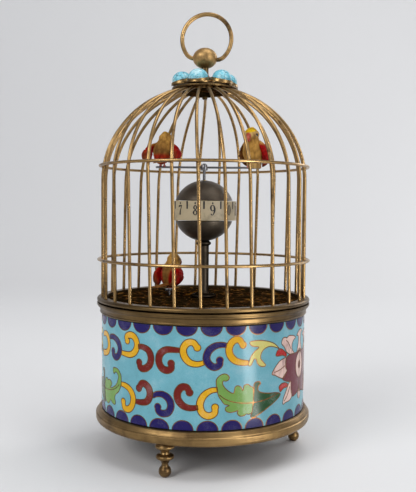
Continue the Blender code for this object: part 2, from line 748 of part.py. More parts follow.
def wire_path(degrees):
    """One wire's middle line, from the cage ring up and over to the crown, twisting a little more as it rises."""
    steepest = math.acos(WIRE_END_R / WIRE_CIRCLE_R)
    path = [(WIRE_CIRCLE_R, CAGE_RING_TOP + GAP), (WIRE_CIRCLE_R, DOME_START_Z)]
    for i in range(1, DOME_POINTS + 1):
        radius = WIRE_CIRCLE_R * math.cos(steepest * i / DOME_POINTS)
        path.append((radius, dome_height(radius)))
    lengths = [0.0]
    for before, after in zip(path, path[1:]):
        lengths.append(lengths[-1] + math.dist(before, after))
    line = []
    for (radius, height), length in zip(path, lengths):
        twist = WIRE_TWIST_DEG * (length / lengths[-1]) ** 2
        line.append(Vector((*polar_from_front(radius, degrees + twist), height)))
    return line


def make_cage_bars(shop, cage):
    """The wires in combs of three, each comb's upper ends joined by its share of the ring under the crown."""
    spacing = 360.0 / WIRE_COUNT
    section = round_section(WIRE_R, WIRE_SIDES)
    comb_count = WIRE_COUNT // WIRES_PER_COMB
    half_comb = 180.0 / comb_count - COMB_PLATE_MARGIN_DEG
    for comb in range(comb_count):
        degrees = [FIRST_WIRE_DEG + spacing * (comb * WIRES_PER_COMB + i) for i in range(WIRES_PER_COMB)]
        middle = sum(degrees) / WIRES_PER_COMB
        edge = [middle + WIRE_TWIST_DEG + half_comb * share for share in (-1.0, -0.5, 0.0, 0.5, 1.0)]
        outline = [polar_from_front(COMB_PLATE_R, angle) for angle in edge]
        outline += [polar_from_front(COMB_PLATE_BORE_R, angle) for angle in reversed(edge)]
        shapes = [slab(outline, COMB_PLATE_TOP - COMB_PLATE_T, COMB_PLATE_TOP)]
        for angle in degrees:
            across = polar_from_front(1.0, angle + WIRE_TWIST_DEG / 2.0 + 90.0)
            shapes.append(swept(wire_path(angle), section, (*across, 0.0)))
        shop.piece(f"cage_bars_{comb + 1}", cage, "antique_brass", shapes)


def make_crown(shop, cage):
    bore = (STUD_R + GAP) / math.cos(math.pi / MEDIUM_STEPS)
    profile = [
        (bore, CROWN_HUB_Z),
        (CROWN_HUB_R, CROWN_HUB_Z),
        (CROWN_R, crown_top(CROWN_R)),
        (CROWN_R, CROWN_EDGE_Z),
        (CROWN_HUB_R, CROWN_HUB_Z - CROWN_T),
        (bore, CROWN_HUB_Z - CROWN_T),
    ]
    shop.piece("crown_cap", cage, "antique_brass", [turned(profile, MEDIUM_STEPS)])

    clamp_bottom = CLAMP_TOP - CLAMP_T
    nut = [
        rod(CLAMP_R, clamp_bottom, CLAMP_TOP, steps=MEDIUM_STEPS),
        rod(NUT_R, NUT_BOTTOM, clamp_bottom + CLAMP_T / 2.0, steps=6),
    ]
    cut = hole(STUD_R, NUT_BOTTOM, CLAMP_TOP)
    shop.piece("crown_nut", cage, "dark_brass", nut, [cut])


def stone_place(number):
    """Where a stone stands: on the setting plate, leaning out with the crown's slope."""
    degrees = FIRST_STONE_DEG + 360.0 / STONE_COUNT * number - 90.0
    height = crown_top(STONE_CIRCLE_R) + GAP + SETTING_PLATE_T
    turn = Matrix.Rotation(math.radians(degrees), 4, "Z")
    lean = Matrix.Rotation(math.radians(CROWN_SLOPE_DEG), 4, "Y")
    return turn @ Matrix.Translation((STONE_CIRCLE_R, 0.0, height)) @ lean


def make_stones(shop, cage):
    cup_in = (STONE_R + GAP) / math.cos(math.pi / STONE_STEPS)
    cup_out = cup_in + CUP_WALL
    sunk = SETTING_PLATE_T / 2.0
    rise = GAP
    plate = [
        (SETTING_PLATE_BORE_R, crown_top(SETTING_PLATE_BORE_R) + rise + SETTING_PLATE_T),
        (SETTING_PLATE_R, crown_top(SETTING_PLATE_R) + rise + SETTING_PLATE_T),
        (SETTING_PLATE_R, crown_top(SETTING_PLATE_R) + rise),
        (SETTING_PLATE_BORE_R, crown_top(SETTING_PLATE_BORE_R) + rise),
    ]
    cup = [(cup_out, CUP_HEIGHT), (cup_out, -sunk), (cup_in, -sunk), (cup_in, CUP_HEIGHT)]
    shapes = [turned(plate, MEDIUM_STEPS)]
    shapes += [moved(turned(cup, STONE_STEPS), stone_place(i)) for i in range(STONE_COUNT)]
    shop.piece("stone_setting", cage, "antique_brass", shapes)

    dome = [math.radians(angle) for angle in (30.0, 60.0)]
    profile = [(0.0, GAP + STONE_HEIGHT)]
    profile += [
        (STONE_R * math.sin(angle), GAP + STONE_GIRDLE + (STONE_HEIGHT - STONE_GIRDLE) * math.cos(angle))
        for angle in dome
    ]
    profile += [(STONE_R, GAP + STONE_GIRDLE), (STONE_R, GAP), (0.0, GAP)]
    for i in range(STONE_COUNT):
        shape = moved(turned(profile, STONE_STEPS), stone_place(i))
        shop.piece(f"stone_{i + 1}", cage, "turquoise", [shape])


def make_finial(shop, cage):
    flange = CROWN_HUB_Z + GAP
    lowest = math.pi - math.asin(FINIAL_NECK_R / FINIAL_R)
    angles = [lowest * i / FINIAL_POINTS for i in range(1, FINIAL_POINTS + 1)]
    ball = [(FINIAL_R * math.sin(a), FINIAL_Z + FINIAL_HALF_HEIGHT * math.cos(a)) for a in angles]
    profile = [
        (0.0, FINIAL_Z + FINIAL_HALF_HEIGHT),
        *ball,
        (FINIAL_NECK_R, flange + 2.0 * FINIAL_FLANGE_T),
        (FINIAL_FLANGE_R, flange + FINIAL_FLANGE_T),
        (FINIAL_FLANGE_R, flange),
        (STUD_R, flange),
        (STUD_R, NUT_BOTTOM - STUD_R),
        (0.0, NUT_BOTTOM - STUD_R),
    ]
    pin_hole = hole(HANDLE_WIRE_R, -FINIAL_R, FINIAL_R)
    lying = Matrix.Rotation(math.radians(HANDLE_TURN_DEG), 4, "Z") @ Matrix.Rotation(math.pi / 2.0, 4, "Y")
    moved(pin_hole, Matrix.Translation((0.0, 0.0, PIN_Z)) @ lying)
    shop.piece("finial", cage, "antique_brass", [turned(profile, FINIAL_STEPS)], [pin_hole])


def make_handle(shop, handle):
    """The carrying ring, open at the bottom, with both ends turned in as pins."""
    opening = math.acos(HANDLE_CENTRE_UP / HANDLE_R)
    path = [Vector((-(FINIAL_R - HANDLE_PIN_DEPTH), 0.0, 0.0))]
    for i in range(HANDLE_POINTS + 1):
        angle = opening + (math.tau - 2.0 * opening) * i / HANDLE_POINTS
        path.append(Vector((-HANDLE_R * math.sin(angle), 0.0, HANDLE_CENTRE_UP - HANDLE_R * math.cos(angle))))
    path.append(Vector((FINIAL_R - HANDLE_PIN_DEPTH, 0.0, 0.0)))
    shape = swept(path, round_section(HANDLE_WIRE_R, WIRE_SIDES), (0.0, 1.0, 0.0))
    shop.piece("handle_ring", handle, "antique_brass", [shape])


# Column, globe and hour band


def make_column(shop, base):
    flange_bottom = FLOOR_TOP + GAP
    flange_top = flange_bottom + COLUMN_FLANGE_T
    globe_hole_z = GLOBE_Z - GLOBE_R
    collar_top = globe_hole_z + GAP
    inner = COLUMN_R - COLUMN_WALL
    profile = [
        (COLUMN_R, globe_hole_z + 3.0 * COLUMN_COLLAR_T),
        (COLUMN_R, collar_top - COLUMN_COLLAR_T / 2.0),
        (COLUMN_COLLAR_R, collar_top - COLUMN_COLLAR_T),
        (COLUMN_COLLAR_R, collar_top - 2.0 * COLUMN_COLLAR_T),
        (COLUMN_R, collar_top - 2.5 * COLUMN_COLLAR_T),
        (COLUMN_R, flange_top),
        (COLUMN_FLANGE_R, flange_top),
        (COLUMN_FLANGE_R, flange_bottom),
        (COLUMN_R, flange_bottom),
        (COLUMN_R, FLOOR_BOTTOM - COLUMN_TAIL),
        (inner, FLOOR_BOTTOM - COLUMN_TAIL),
        (inner, globe_hole_z + 3.0 * COLUMN_COLLAR_T),
    ]
    shop.piece("column_tube", base, "antique_brass", [turned(profile, SMALL_STEPS)])


def make_globe_half(shop, parent, name, low, high):
    """A shell of the globe between two heights from its middle, open at both ends."""
    outside = globe_arc(GLOBE_R, low, high, GLOBE_POINTS)
    inner_r = GLOBE_R - GLOBE_WALL
    reach = [max(-inner_r, min(inner_r, end)) for end in (low, high)]
    hole_r = min(outside[0][0], outside[-1][0])
    inside = globe_arc(inner_r, *reach, GLOBE_POINTS)
    inside = [(max(radius, hole_r), height) for radius, height in inside]
    shop.piece(name, parent, "globe_metal", [turned(outside[::-1] + inside, MEDIUM_STEPS)])


def make_hour_band(shop, hour):
    top, bottom = GLOBE_Z + BAND_HEIGHT / 2.0, GLOBE_Z - BAND_HEIGHT / 2.0
    lip = BAND_R - BAND_LIP
    inner = BAND_R - BAND_WALL
    profile = [
        (BAND_R, top),
        (BAND_R, bottom),
        (lip, bottom),
        (lip, bottom + BAND_LIP_T),
        (inner, bottom + BAND_LIP_T),
        (inner, top - BAND_LIP_T),
        (lip, top - BAND_LIP_T),
        (lip, top),
    ]
    shop.piece("hour_band", hour, "hour_ivory", [turned(profile, MEDIUM_STEPS)])


def make_hour_pipe(shop, hour):
    """The hour wheel, its long pipe up through the column, and the disc inside the hour band."""
    wheel_bottom = FRONT_TOP + HOUR_WHEEL_UP
    carrier_top = GLOBE_Z + BAND_HEIGHT / 2.0 - BAND_LIP_T - GAP
    pipe_top = GLOBE_Z + GLOBE_R
    shapes = [
        rod(PIPE_R, HOUR_PIPE_BOTTOM, pipe_top),
        wheel(HOUR_TEETH, GREAT_MODULE, wheel_bottom, gap_facing(HOUR_TEETH, bearing(MIDDLE, MOTION_AT))),
        rod(BAND_R - BAND_WALL - 2.0 * GAP, carrier_top - CARRIER_T, carrier_top, steps=MEDIUM_STEPS),
    ]
    cut = hole(SPINDLE_R, HOUR_PIPE_BOTTOM, pipe_top, steps=SMALL_STEPS)
    shop.piece("hour_pipe", hour, "clock_brass", shapes, [cut])


def make_globe(shop, base, hour):
    band_half = BAND_HEIGHT / 2.0 + GAP
    column_hole = COLUMN_R + 2.0 * GAP
    pipe_hole = PIPE_R + 2.0 * GAP
    lowest = math.sqrt(GLOBE_R**2 - column_hole**2)
    highest = math.sqrt(GLOBE_R**2 - pipe_hole**2)
    make_globe_half(shop, base, "globe_lower", -lowest, -band_half)
    make_globe_half(shop, hour, "globe_upper", band_half, highest)
    make_hour_band(shop, hour)
    make_hour_pipe(shop, hour)


# Perch and birds


def ovals(places, wide, tall):
    """Rings in X and Y, each (forward, aside, up, half length, half width, turned down at the front by)."""
    rings = []
    for forward, aside, up, half_length, half_width, dip in places:
        ring = []
        for ahead, across in round_section(1.0, BIRD_SIDES):
            x = (forward + ahead * half_length) * wide
            y = (aside + across * half_width) * wide
            ring.append(Vector((x, y, (up - ahead * dip) * tall)))
        rings.append(ring)
    return rings


def bird_shapes(height, tail_length, spread, head=BIRD_HEAD_R, look_deg=0.0, sits_low=False):
    """A parrot standing on the origin, beak towards +X: body, hooked beak, two wings held out by spread, a tail, and
    the peg it stands on. One that sits low has a full belly in place of the peg."""
    # The tables below draw a bird 14.4 tall and 7.8 wide
    tall = height / 14.4
    wide = BIRD_WIDTH / 7.8
    held_out = spread / wide
    head_r = head / wide
    rump = (-1.5, 0.3, 2.1, 2.6, 0.0) if sits_low else (-2.4, 0.8, 1.1, 1.5, 0.4)
    spine = [  # forward, up, half length, half width, dip
        rump,
        (-1.6, 2.8, 2.6, 3.1, 0.9),
        (-0.6, 5.6, 3.5, 3.9, 1.2),
        (0.3, 8.3, 3.1, 3.4, 1.1),
        (0.9, 10.3, 2.6, 2.7, 0.8),
        (1.2, 12.0, head_r, head_r, 0.4),
        (1.0, 13.5, 0.62 * head_r, 0.62 * head_r, 0.0),
        (0.5, 14.4, 0.5, 0.5, 0.0),
    ]
    shapes = [lofted(ovals([(x, 0.0, *rest) for x, *rest in spine], wide, tall))]
    beak = [(2.6, 11.4, 1.3), (4.2, 11.1, 1.05), (4.9, 10.3, 0.7), (4.7, 9.3, 0.2)]
    rings = [
        [Vector((x * wide, y * wide, (z + up) * tall)) for y, up in round_section(size, 4)] for x, z, size in beak
    ]
    neck = Matrix.Translation((1.0 * wide, 0.0, 0.0))
    look = neck @ Matrix.Rotation(math.radians(look_deg), 4, "Z") @ neck.inverted()
    shapes.append(moved(lofted(rings), look))
    wing = [  # forward, aside, up, half length, half width, dip
        (0.3, 2.9, 9.6, 0.9, 0.5, 0.3),
        (-0.6, 3.6 + 0.7 * held_out, 7.6, 1.9, 1.0, 0.8),
        (-1.8, 3.9 + held_out, 4.8, 1.9, 1.1 + 0.2 * held_out, 0.8),
        (-3.2, 3.0 + held_out, 2.2, 1.2, 0.8 + 0.3 * held_out, 0.5),
        (-4.0, 1.8 + held_out, 1.1, 0.4, 0.4, 0.2),
    ]
    for side in (-1.0, 1.0):
        shapes.append(lofted(ovals([(x, side * y, *rest) for x, y, *rest in wing], wide, tall)))
    tail = [(-1.6, 2.8, 0.9, 1.5), (-3.6, 1.6, 0.6, 1.3), (-tail_length / wide, 0.7, 0.35, 1.7)]
    shapes.append(
        lofted(
            [
                [Vector((x * wide, y * half_width * wide, (z + up * half_height) * tall)) for y, up in round_section(1.0, 6)]
                for x, z, half_height, half_width in tail
            ]
        )
    )
    if not sits_low:
        shapes.append(rod(BIRD_PEG_R, 0.0, BIRD_PEG_HEIGHT, (-BIRD_PEG_BACK, 0.0), HOLE_STEPS))
    return shapes


def place_bird(shop, parent, name, at, height, turn_deg, shapes, cuts=()):
    turn = Matrix.Rotation(math.radians(turn_deg), 4, "Z")
    place = Matrix.Translation((at[0], at[1], height)) @ turn @ Matrix.Translation((BIRD_PEG_BACK, 0.0, 0.0))
    shop.piece(name, parent, "bird_cream", [moved(shape, place) for shape in shapes], cuts)


def make_perch(shop, perch):
    spindle_top = PERCH_Z + PERCH_HUB_T / 2.0 + GAP
    collar_top = HOUR_PIPE_BOTTOM - GAP
    spindle = [
        rod(SPINDLE_R, BACK_BOTTOM, spindle_top),
        rod(SPINDLE_COLLAR_R, collar_top - SPINDLE_COLLAR_T, collar_top),
    ]
    shop.piece("perch_spindle", perch, "steel", spindle)

    hub_low, hub_high = PERCH_Z - PERCH_HUB_T / 2.0, PERCH_Z + PERCH_HUB_T / 2.0
    left_end, right_end = LEFT_BIRD_X - PERCH_BAR_OVERHANG, RIGHT_BIRD_X + PERCH_BAR_OVERHANG
    lying = Matrix.Translation((0.0, 0.0, PERCH_Z)) @ Matrix.Rotation(math.pi / 2.0, 4, "Y")
    crossbar = moved(rod(PERCH_BAR_R, left_end, right_end, steps=HOLE_STEPS), lying)
    shapes = [rod(PERCH_HUB_R, hub_low, hub_high), crossbar]
    shop.piece("perch_bar", perch, "antique_brass", shapes, [hole(SPINDLE_R, hub_low, hub_high)])

    seat = PERCH_Z + PERCH_BAR_R + GAP
    groove = moved(hole(PERCH_BAR_R, RIGHT_BIRD_X - BIRD_WIDTH, RIGHT_BIRD_X + BIRD_WIDTH), lying)
    right_seat = seat - RIGHT_BIRD_SINK
    right_bird = bird_shapes(
        RIGHT_BIRD_HEIGHT, RIGHT_BIRD_TAIL, RIGHT_BIRD_SPREAD, RIGHT_BIRD_HEAD_R, RIGHT_BIRD_LOOK_DEG, sits_low=True
    )
    left_bird = bird_shapes(LEFT_BIRD_HEIGHT, LEFT_BIRD_TAIL, LEFT_BIRD_SPREAD)
    place_bird(
        shop, perch, "perch_bird_right", (RIGHT_BIRD_X, 0.0), right_seat, RIGHT_BIRD_TURN_DEG, right_bird, [groove]
    )
    place_bird(shop, perch, "perch_bird_left", (LEFT_BIRD_X, 0.0), seat, LEFT_BIRD_TURN_DEG, left_bird)


def make_floor_bird(shop, floor_bird):
    """The bird on the floor, on an arbor with a crank that reaches back towards the middle."""
    feet = FLOOR_TOP + FLOOR_BIRD_LIFT
    shapes = bird_shapes(FLOOR_BIRD_HEIGHT, FLOOR_BIRD_TAIL, FLOOR_BIRD_SPREAD)
    place_bird(shop, floor_bird, "floor_bird", (0.0, 0.0), feet + GAP, FLOOR_BIRD_TURN_DEG, shapes)
    inward = bearing(FLOOR_BIRD_AT, MIDDLE)
    arm_z = FRONT_TOP + GAP
    crank_low = arm_z + DRIVE_ARM_T + 2.0 * GAP + GAP
    pin = polar(CRANK_LENGTH, inward)
    crank_end = polar(CRANK_LENGTH + CRANK_WIDTH / 2.0, inward)
    crank_heel = polar(-CRANK_HEEL, inward)
    shapes = [
        rod(ARBOR_R, FRONT_BOTTOM, feet, steps=HOLE_STEPS),
        rod(FLOOR_BIRD_PAD_R, feet - FLOOR_BIRD_PAD_T, feet),
        bar(crank_heel, crank_end, CRANK_WIDTH, crank_low, crank_low + CRANK_T),
        rod(CRANK_PIN_R, arm_z, crank_low + CRANK_T / 2.0, pin, HOLE_STEPS),
    ]
    shop.piece("floor_bird_arbor", floor_bird, "steel", shapes)


# Movement


def make_plates(shop, base):
    holes_at = [
        (CENTRE_ARBOR_R, CENTRE_AT),
        (WINDING_ARBOR_R, BARREL_AT),
        (ARBOR_R, THIRD_AT),
        (ARBOR_R, FOURTH_AT),
        (ARBOR_R, ESCAPE_AT),
        (ARBOR_R, BALANCE_AT),
        (SPINDLE_R, MIDDLE),
    ]
    back = [rod(PLATE_R, BACK_BOTTOM, BACK_TOP, steps=MEDIUM_STEPS)]
    standoff_foot = BASE_PLATE_TOP + GAP
    for degrees in PILLAR_DEGS:
        at = polar(PILLAR_CIRCLE_R, degrees)
        back.append(rod(PILLAR_R, standoff_foot, FRONT_BOTTOM - GAP, at, HOLE_STEPS))
    back.append(rod(CLICK_STUD_R, standoff_foot, (BACK_BOTTOM + BACK_TOP) / 2.0, click_pivot(), HOLE_STEPS))
    cuts = [hole(radius, BACK_BOTTOM, BACK_TOP, at) for radius, at in holes_at]
    shop.piece("back_plate", base, "clock_brass", back, cuts)

    stud_top = FRONT_TOP + MOTION_UP + WHEEL_T + MOTION_PINION_T + GAP
    front = [
        rod(PLATE_R, FRONT_BOTTOM, FRONT_TOP, steps=MEDIUM_STEPS),
        rod(MOTION_STUD_R, (FRONT_BOTTOM + FRONT_TOP) / 2.0, stud_top, MOTION_AT, HOLE_STEPS),
    ]
    cuts = [hole(radius, FRONT_BOTTOM, FRONT_TOP, at) for radius, at in [*holes_at, (ARBOR_R, FLOOR_BIRD_AT)]]
    shop.piece("front_plate", base, "clock_brass", front, cuts)


def make_barrel(shop, barrel):
    low = BACK_TOP + BARREL_UP
    high = low + BARREL_FLANGE_T + BARREL_HEIGHT
    to_centre = bearing(BARREL_AT, CENTRE_AT)
    shapes = [
        wheel(BARREL_TEETH, GREAT_MODULE, low, to_centre, BARREL_FLANGE_T),
        rod(BARREL_R, low + BARREL_FLANGE_T / 2.0, high, steps=MEDIUM_STEPS),
    ]
    cuts = [
        rod(BARREL_R - BARREL_WALL, low + BARREL_FLANGE_T, high + BARREL_FLANGE_T, steps=MEDIUM_STEPS),
        hole(WINDING_ARBOR_R, low, high),
    ]
    shop.piece("barrel", barrel, "clock_brass", shapes, cuts)

    outer = BARREL_R - BARREL_WALL - MAINSPRING_T - GAP
    count = MAINSPRING_TURNS * MAINSPRING_POINTS_PER_TURN
    path = []
    middle = low + BARREL_FLANGE_T + BARREL_HEIGHT / 2.0
    for i in range(count + 1):
        radius = MAINSPRING_IN_R + (outer - MAINSPRING_IN_R) * i / count
        path.append(Vector((*polar(radius, 360.0 * i / MAINSPRING_POINTS_PER_TURN), middle)))
    section = strip_section(MAINSPRING_T, BARREL_HEIGHT - 2.0 * GAP)
    shop.piece("mainspring", barrel, "steel", [swept(path, section, (0.0, 0.0, 1.0))])


def ratchet_outline():
    """Teeth whose steep faces meet the click when the mainspring turns the arbor back."""
    step = 360.0 / RATCHET_TEETH
    outline = []
    for i in range(RATCHET_TEETH):
        outline.append(polar(RATCHET_R - RATCHET_TOOTH, i * step))
        outline.append(polar(RATCHET_R, (i + 0.03) * step))
    return outline


def click_pivot():
    return BARREL_AT + Vector(polar(CLICK_PIVOT_OUT, CLICK_PIVOT_DEG))


def make_winding(shop, winding, click):
    ratchet_top = BACK_BOTTOM - RATCHET_DROP
    key_top = BASE_PLATE_BOTTOM - KEY_DROP
    key_hub_bottom = key_top - KEY_HUB_HEIGHT
    arbor = [
        rod(WINDING_ARBOR_R, key_top - KEY_SOCKET + GAP, FRONT_TOP),
        slab(ratchet_outline(), ratchet_top - RATCHET_T, ratchet_top),
    ]
    shop.piece("winding_arbor", winding, "steel", arbor)

    bow_top = key_hub_bottom + KEY_BOW_T
    bow = slab(
        [
            (-KEY_BOW_WIDTH / 2.0, -KEY_BOW_T / 2.0),
            (KEY_BOW_WIDTH / 2.0, -KEY_BOW_T / 2.0),
            (KEY_BOW_WIDTH / 2.0, KEY_BOW_T / 2.0),
            (-KEY_BOW_WIDTH / 2.0, KEY_BOW_T / 2.0),
        ],
        bow_top - KEY_BOW_HEIGHT,
        bow_top,
    )
    socket = rod(
        (WINDING_ARBOR_R + GAP) / math.cos(math.pi / SMALL_STEPS), key_top - KEY_SOCKET, key_top + KEY_SOCKET
    )
    hub = rod(KEY_HUB_R, key_hub_bottom, key_top)
    shop.piece("winding_key", winding, "antique_brass", [hub, bow], [socket])

    make_click(shop, click, ratchet_top)


def make_click(shop, click, ratchet_top):
    """The click, a lever whose beak drops in front of one ratchet tooth. Its axis is the stud on the back plate."""
    low, high = ratchet_top - RATCHET_T, ratchet_top
    tooth_deg = CLICK_PIVOT_DEG + CLICK_SIDE_DEG
    step = 360.0 / RATCHET_TEETH
    tooth_deg = round(tooth_deg / step) * step
    here = click_pivot() - BARREL_AT
    tip = Vector(polar(RATCHET_R - CLICK_BITE, tooth_deg - 0.3 * step)) - here
    heel = Vector(polar(RATCHET_R + GAP, tooth_deg - 1.1 * step)) - here
    end = Vector(polar(RATCHET_R + CLICK_R, tooth_deg - 0.2 * step)) - here
    side = Vector((-tip.y, tip.x)).normalized() * (CLICK_STUD_R + GAP)
    arm = slab([side, heel, tip, end, -side], low, high)
    shapes = [rod(CLICK_R, low, high), arm]
    shop.piece("click", click, "steel", shapes, [hole(CLICK_STUD_R, low, high)])


def make_centre(shop, centre):
    """Centre wheel, its pinion, and the cannon pinion on the long arbor that ends in the setting knob."""
    knob_top = BASE_PLATE_BOTTOM - KNOB_DROP
    to_barrel = bearing(CENTRE_AT, BARREL_AT)
    cannon_low = FRONT_TOP + CANNON_UP
    shapes = [
        rod(CENTRE_ARBOR_R, knob_top - KNOB_SOCKET + GAP, cannon_low + CANNON_T + GAP),
        pinion(CENTRE_LEAVES, GREAT_MODULE, BACK_TOP + GAP, gap_facing(CENTRE_LEAVES, to_barrel)),
        wheel(CENTRE_TEETH, GREAT_MODULE, BACK_TOP + CENTRE_WHEEL_UP, bearing(CENTRE_AT, THIRD_AT)),
        pinion(CANNON_LEAVES, GREAT_MODULE, cannon_low, bearing(CENTRE_AT, MOTION_AT), CANNON_T),
    ]
    shop.piece("centre_wheel", centre, "clock_brass", shapes)

    knob = rod(KNOB_R, knob_top - KNOB_T, knob_top, steps=MEDIUM_STEPS)
    socket = rod(
        (CENTRE_ARBOR_R + GAP) / math.cos(math.pi / SMALL_STEPS), knob_top - KNOB_SOCKET, knob_top + KNOB_SOCKET
    )
    shop.piece("setting_knob", centre, "antique_brass", [knob], [socket])


def make_train_wheel(shop, parent, name, here, last, last_up, leaves, leaf_module, teeth, module, up, following):
    """An arbor with a pinion driven by the wheel before it, and a wheel that drives the next."""
    pinion_low = BACK_TOP + last_up - (PINION_T - WHEEL_T) / 2.0
    shapes = [
        rod(ARBOR_R, BACK_BOTTOM, FRONT_TOP, steps=HOLE_STEPS),
        pinion(leaves, leaf_module, pinion_low, gap_facing(leaves, bearing(here, last))),
        wheel(teeth, module, BACK_TOP + up, bearing(here, following)),
    ]
    shop.piece(name, parent, "clock_brass", shapes)


def make_escape_wheel(shop, escape):
    pinion_low = BACK_TOP + FOURTH_WHEEL_UP - (PINION_T - WHEEL_T) / 2.0
    low = BACK_TOP + ESCAPE_WHEEL_UP
    step = 360.0 / ESCAPE_TEETH
    outline = []
    for i in range(ESCAPE_TEETH):
        outline.append(polar(ESCAPE_R - ESCAPE_TOOTH, (i + 0.1) * step))
        outline.append(polar(ESCAPE_R, (i + 0.42) * step))
        outline.append(polar(ESCAPE_R, (i + 0.5) * step))
        outline.append(polar(ESCAPE_R - ESCAPE_TOOTH, (i + 0.6) * step))
    shapes = [
        rod(ARBOR_R, BACK_BOTTOM, FRONT_TOP, steps=HOLE_STEPS),
        pinion(ESCAPE_LEAVES, TRAIN_MODULE, pinion_low, gap_facing(ESCAPE_LEAVES, bearing(ESCAPE_AT, FOURTH_AT))),
        slab(outline, low, low + WHEEL_T),
    ]
    shop.piece("escape_wheel", escape, "clock_brass", shapes)


def make_lever(shop, perch):
    """The lever on the perch spindle: two pin pallets over the escape wheel, and a fork round the impulse pin."""
    arms_low = BACK_TOP + ESCAPE_WHEEL_UP - LEVER_T - 2.0 * GAP
    pin_top = BACK_TOP + ESCAPE_WHEEL_UP + WHEEL_T
    fork_low = BACK_TOP + FORK_UP
    lift = ESCAPE_OUT * math.sin(math.radians(PALLET_HALF_SPAN_DEG)) * math.radians(PERCH_SWING_DEG)
    pin_circle = ESCAPE_R + lift + PALLET_PIN_R + 2.0 * GAP
    shapes = [rod(LEVER_HUB_R, fork_low, arms_low + LEVER_T)]
    towards_middle = bearing(ESCAPE_AT, MIDDLE)
    for side in (-1.0, 1.0):
        pin = ESCAPE_AT + Vector(polar(pin_circle, towards_middle + side * PALLET_HALF_SPAN_DEG))
        shapes.append(bar(MIDDLE, pin + pin.normalized() * LEVER_ARM_WIDTH / 2.0, LEVER_ARM_WIDTH, arms_low, arms_low + LEVER_T))
        shapes.append(rod(PALLET_PIN_R, arms_low + LEVER_T / 2.0, pin_top, pin, HOLE_STEPS))
    slot_half = IMPULSE_PIN_R + PIN_PLAY
    balance_staff_clear = BALANCE_OUT - ARBOR_R - GAP
    arm_end = Vector(polar(balance_staff_clear, BALANCE_DEG))
    slot_start = Vector(polar(BALANCE_OUT - IMPULSE_CIRCLE_R - slot_half, BALANCE_DEG))
    slot_end = Vector(polar(BALANCE_OUT, BALANCE_DEG))
    shapes.append(bar(MIDDLE, arm_end, 2.0 * (slot_half + FORK_PRONG), fork_low, fork_low + LEVER_T))
    slot = bar(slot_start, slot_end, 2.0 * slot_half, fork_low - LEVER_T, fork_low + 2.0 * LEVER_T)
    bore = hole(SPINDLE_R, fork_low, arms_low + LEVER_T)
    shop.piece("pallet_lever", perch, "steel", shapes, [slot, bore])


def make_balance(shop, balance):
    low = BACK_TOP + BALANCE_UP
    fork_low = BACK_TOP + FORK_UP
    roller_low = fork_low + LEVER_T + 1.5 * GAP
    rim = [
        (BALANCE_R, low + BALANCE_T),
        (BALANCE_R, low),
        (BALANCE_R - BALANCE_RIM, low),
        (BALANCE_R - BALANCE_RIM, low + BALANCE_T),
    ]
    inward = bearing(BALANCE_AT, MIDDLE)
    spoke = [Vector(polar(BALANCE_R - BALANCE_RIM / 2.0, inward + turn)) for turn in (90.0, -90.0)]
    shapes = [
        turned(rim, MEDIUM_STEPS),
        bar(*spoke, BALANCE_SPOKE, low + BALANCE_T / 4.0, low + 3.0 * BALANCE_T / 4.0),
        rod(ARBOR_R, BACK_BOTTOM, FRONT_TOP, steps=HOLE_STEPS),
        rod(ROLLER_R, roller_low, roller_low + ROLLER_T, steps=SMALL_STEPS),
        rod(IMPULSE_PIN_R, fork_low - GAP, roller_low + ROLLER_T / 2.0, polar(IMPULSE_CIRCLE_R, inward), HOLE_STEPS),
    ]
    shop.piece("balance_wheel", balance, "clock_brass", shapes)


def make_hairspring(shop, base):
    """A flat spiral round the balance staff."""
    count = HAIRSPRING_TURNS * HAIRSPRING_POINTS_PER_TURN
    middle = BACK_TOP + HAIRSPRING_UP + HAIRSPRING_HEIGHT / 2.0
    path = []
    for i in range(count + 1):
        radius = HAIRSPRING_IN_R + (HAIRSPRING_OUT_R - HAIRSPRING_IN_R) * i / count
        path.append(Vector((*polar(radius, 360.0 * i / HAIRSPRING_POINTS_PER_TURN), middle)))
    spring = swept(path, strip_section(HAIRSPRING_T, HAIRSPRING_HEIGHT), (0.0, 0.0, 1.0))
    made = shop.piece("hairspring", base, "steel", [spring])
    made.location.xy = BALANCE_AT


def make_regulator(shop, regulator):
    high = FRONT_BOTTOM - GAP
    low = high - REGULATOR_T
    outward = Vector(polar(1.0, BALANCE_DEG))
    pins_low = BACK_TOP + HAIRSPRING_UP
    curb = outward * (HAIRSPRING_OUT_R + CURB_PIN_R + 2.0 * GAP)
    shapes = [
        rod(REGULATOR_R, low, high),
        bar(outward * (REGULATOR_R - REGULATOR_WIDTH), outward * REGULATOR_TAIL, REGULATOR_WIDTH, low, high),
        rod(CURB_PIN_R, pins_low, (low + high) / 2.0, curb, HOLE_STEPS),
    ]
    shop.piece("regulator_lever", regulator, "steel", shapes, [hole(ARBOR_R, low, high)])


def make_motion_wheel(shop, motion):
    low = FRONT_TOP + MOTION_UP
    pinion_top = low + WHEEL_T + MOTION_PINION_T
    shapes = [
        wheel(MOTION_TEETH, GREAT_MODULE, low, gap_facing(MOTION_TEETH, bearing(MOTION_AT, CENTRE_AT))),
        pinion(
            MOTION_LEAVES,
            GREAT_MODULE,
            low + WHEEL_T / 2.0,
            bearing(MOTION_AT, MIDDLE),
            MOTION_PINION_T + WHEEL_T / 2.0,
        ),
        rod(MOTION_HUB_R, FRONT_TOP + GAP, low + WHEEL_T / 2.0),
    ]
    cut = hole(MOTION_STUD_R, FRONT_TOP, pinion_top)
    shop.piece("motion_wheel", motion, "clock_brass", shapes, [cut])


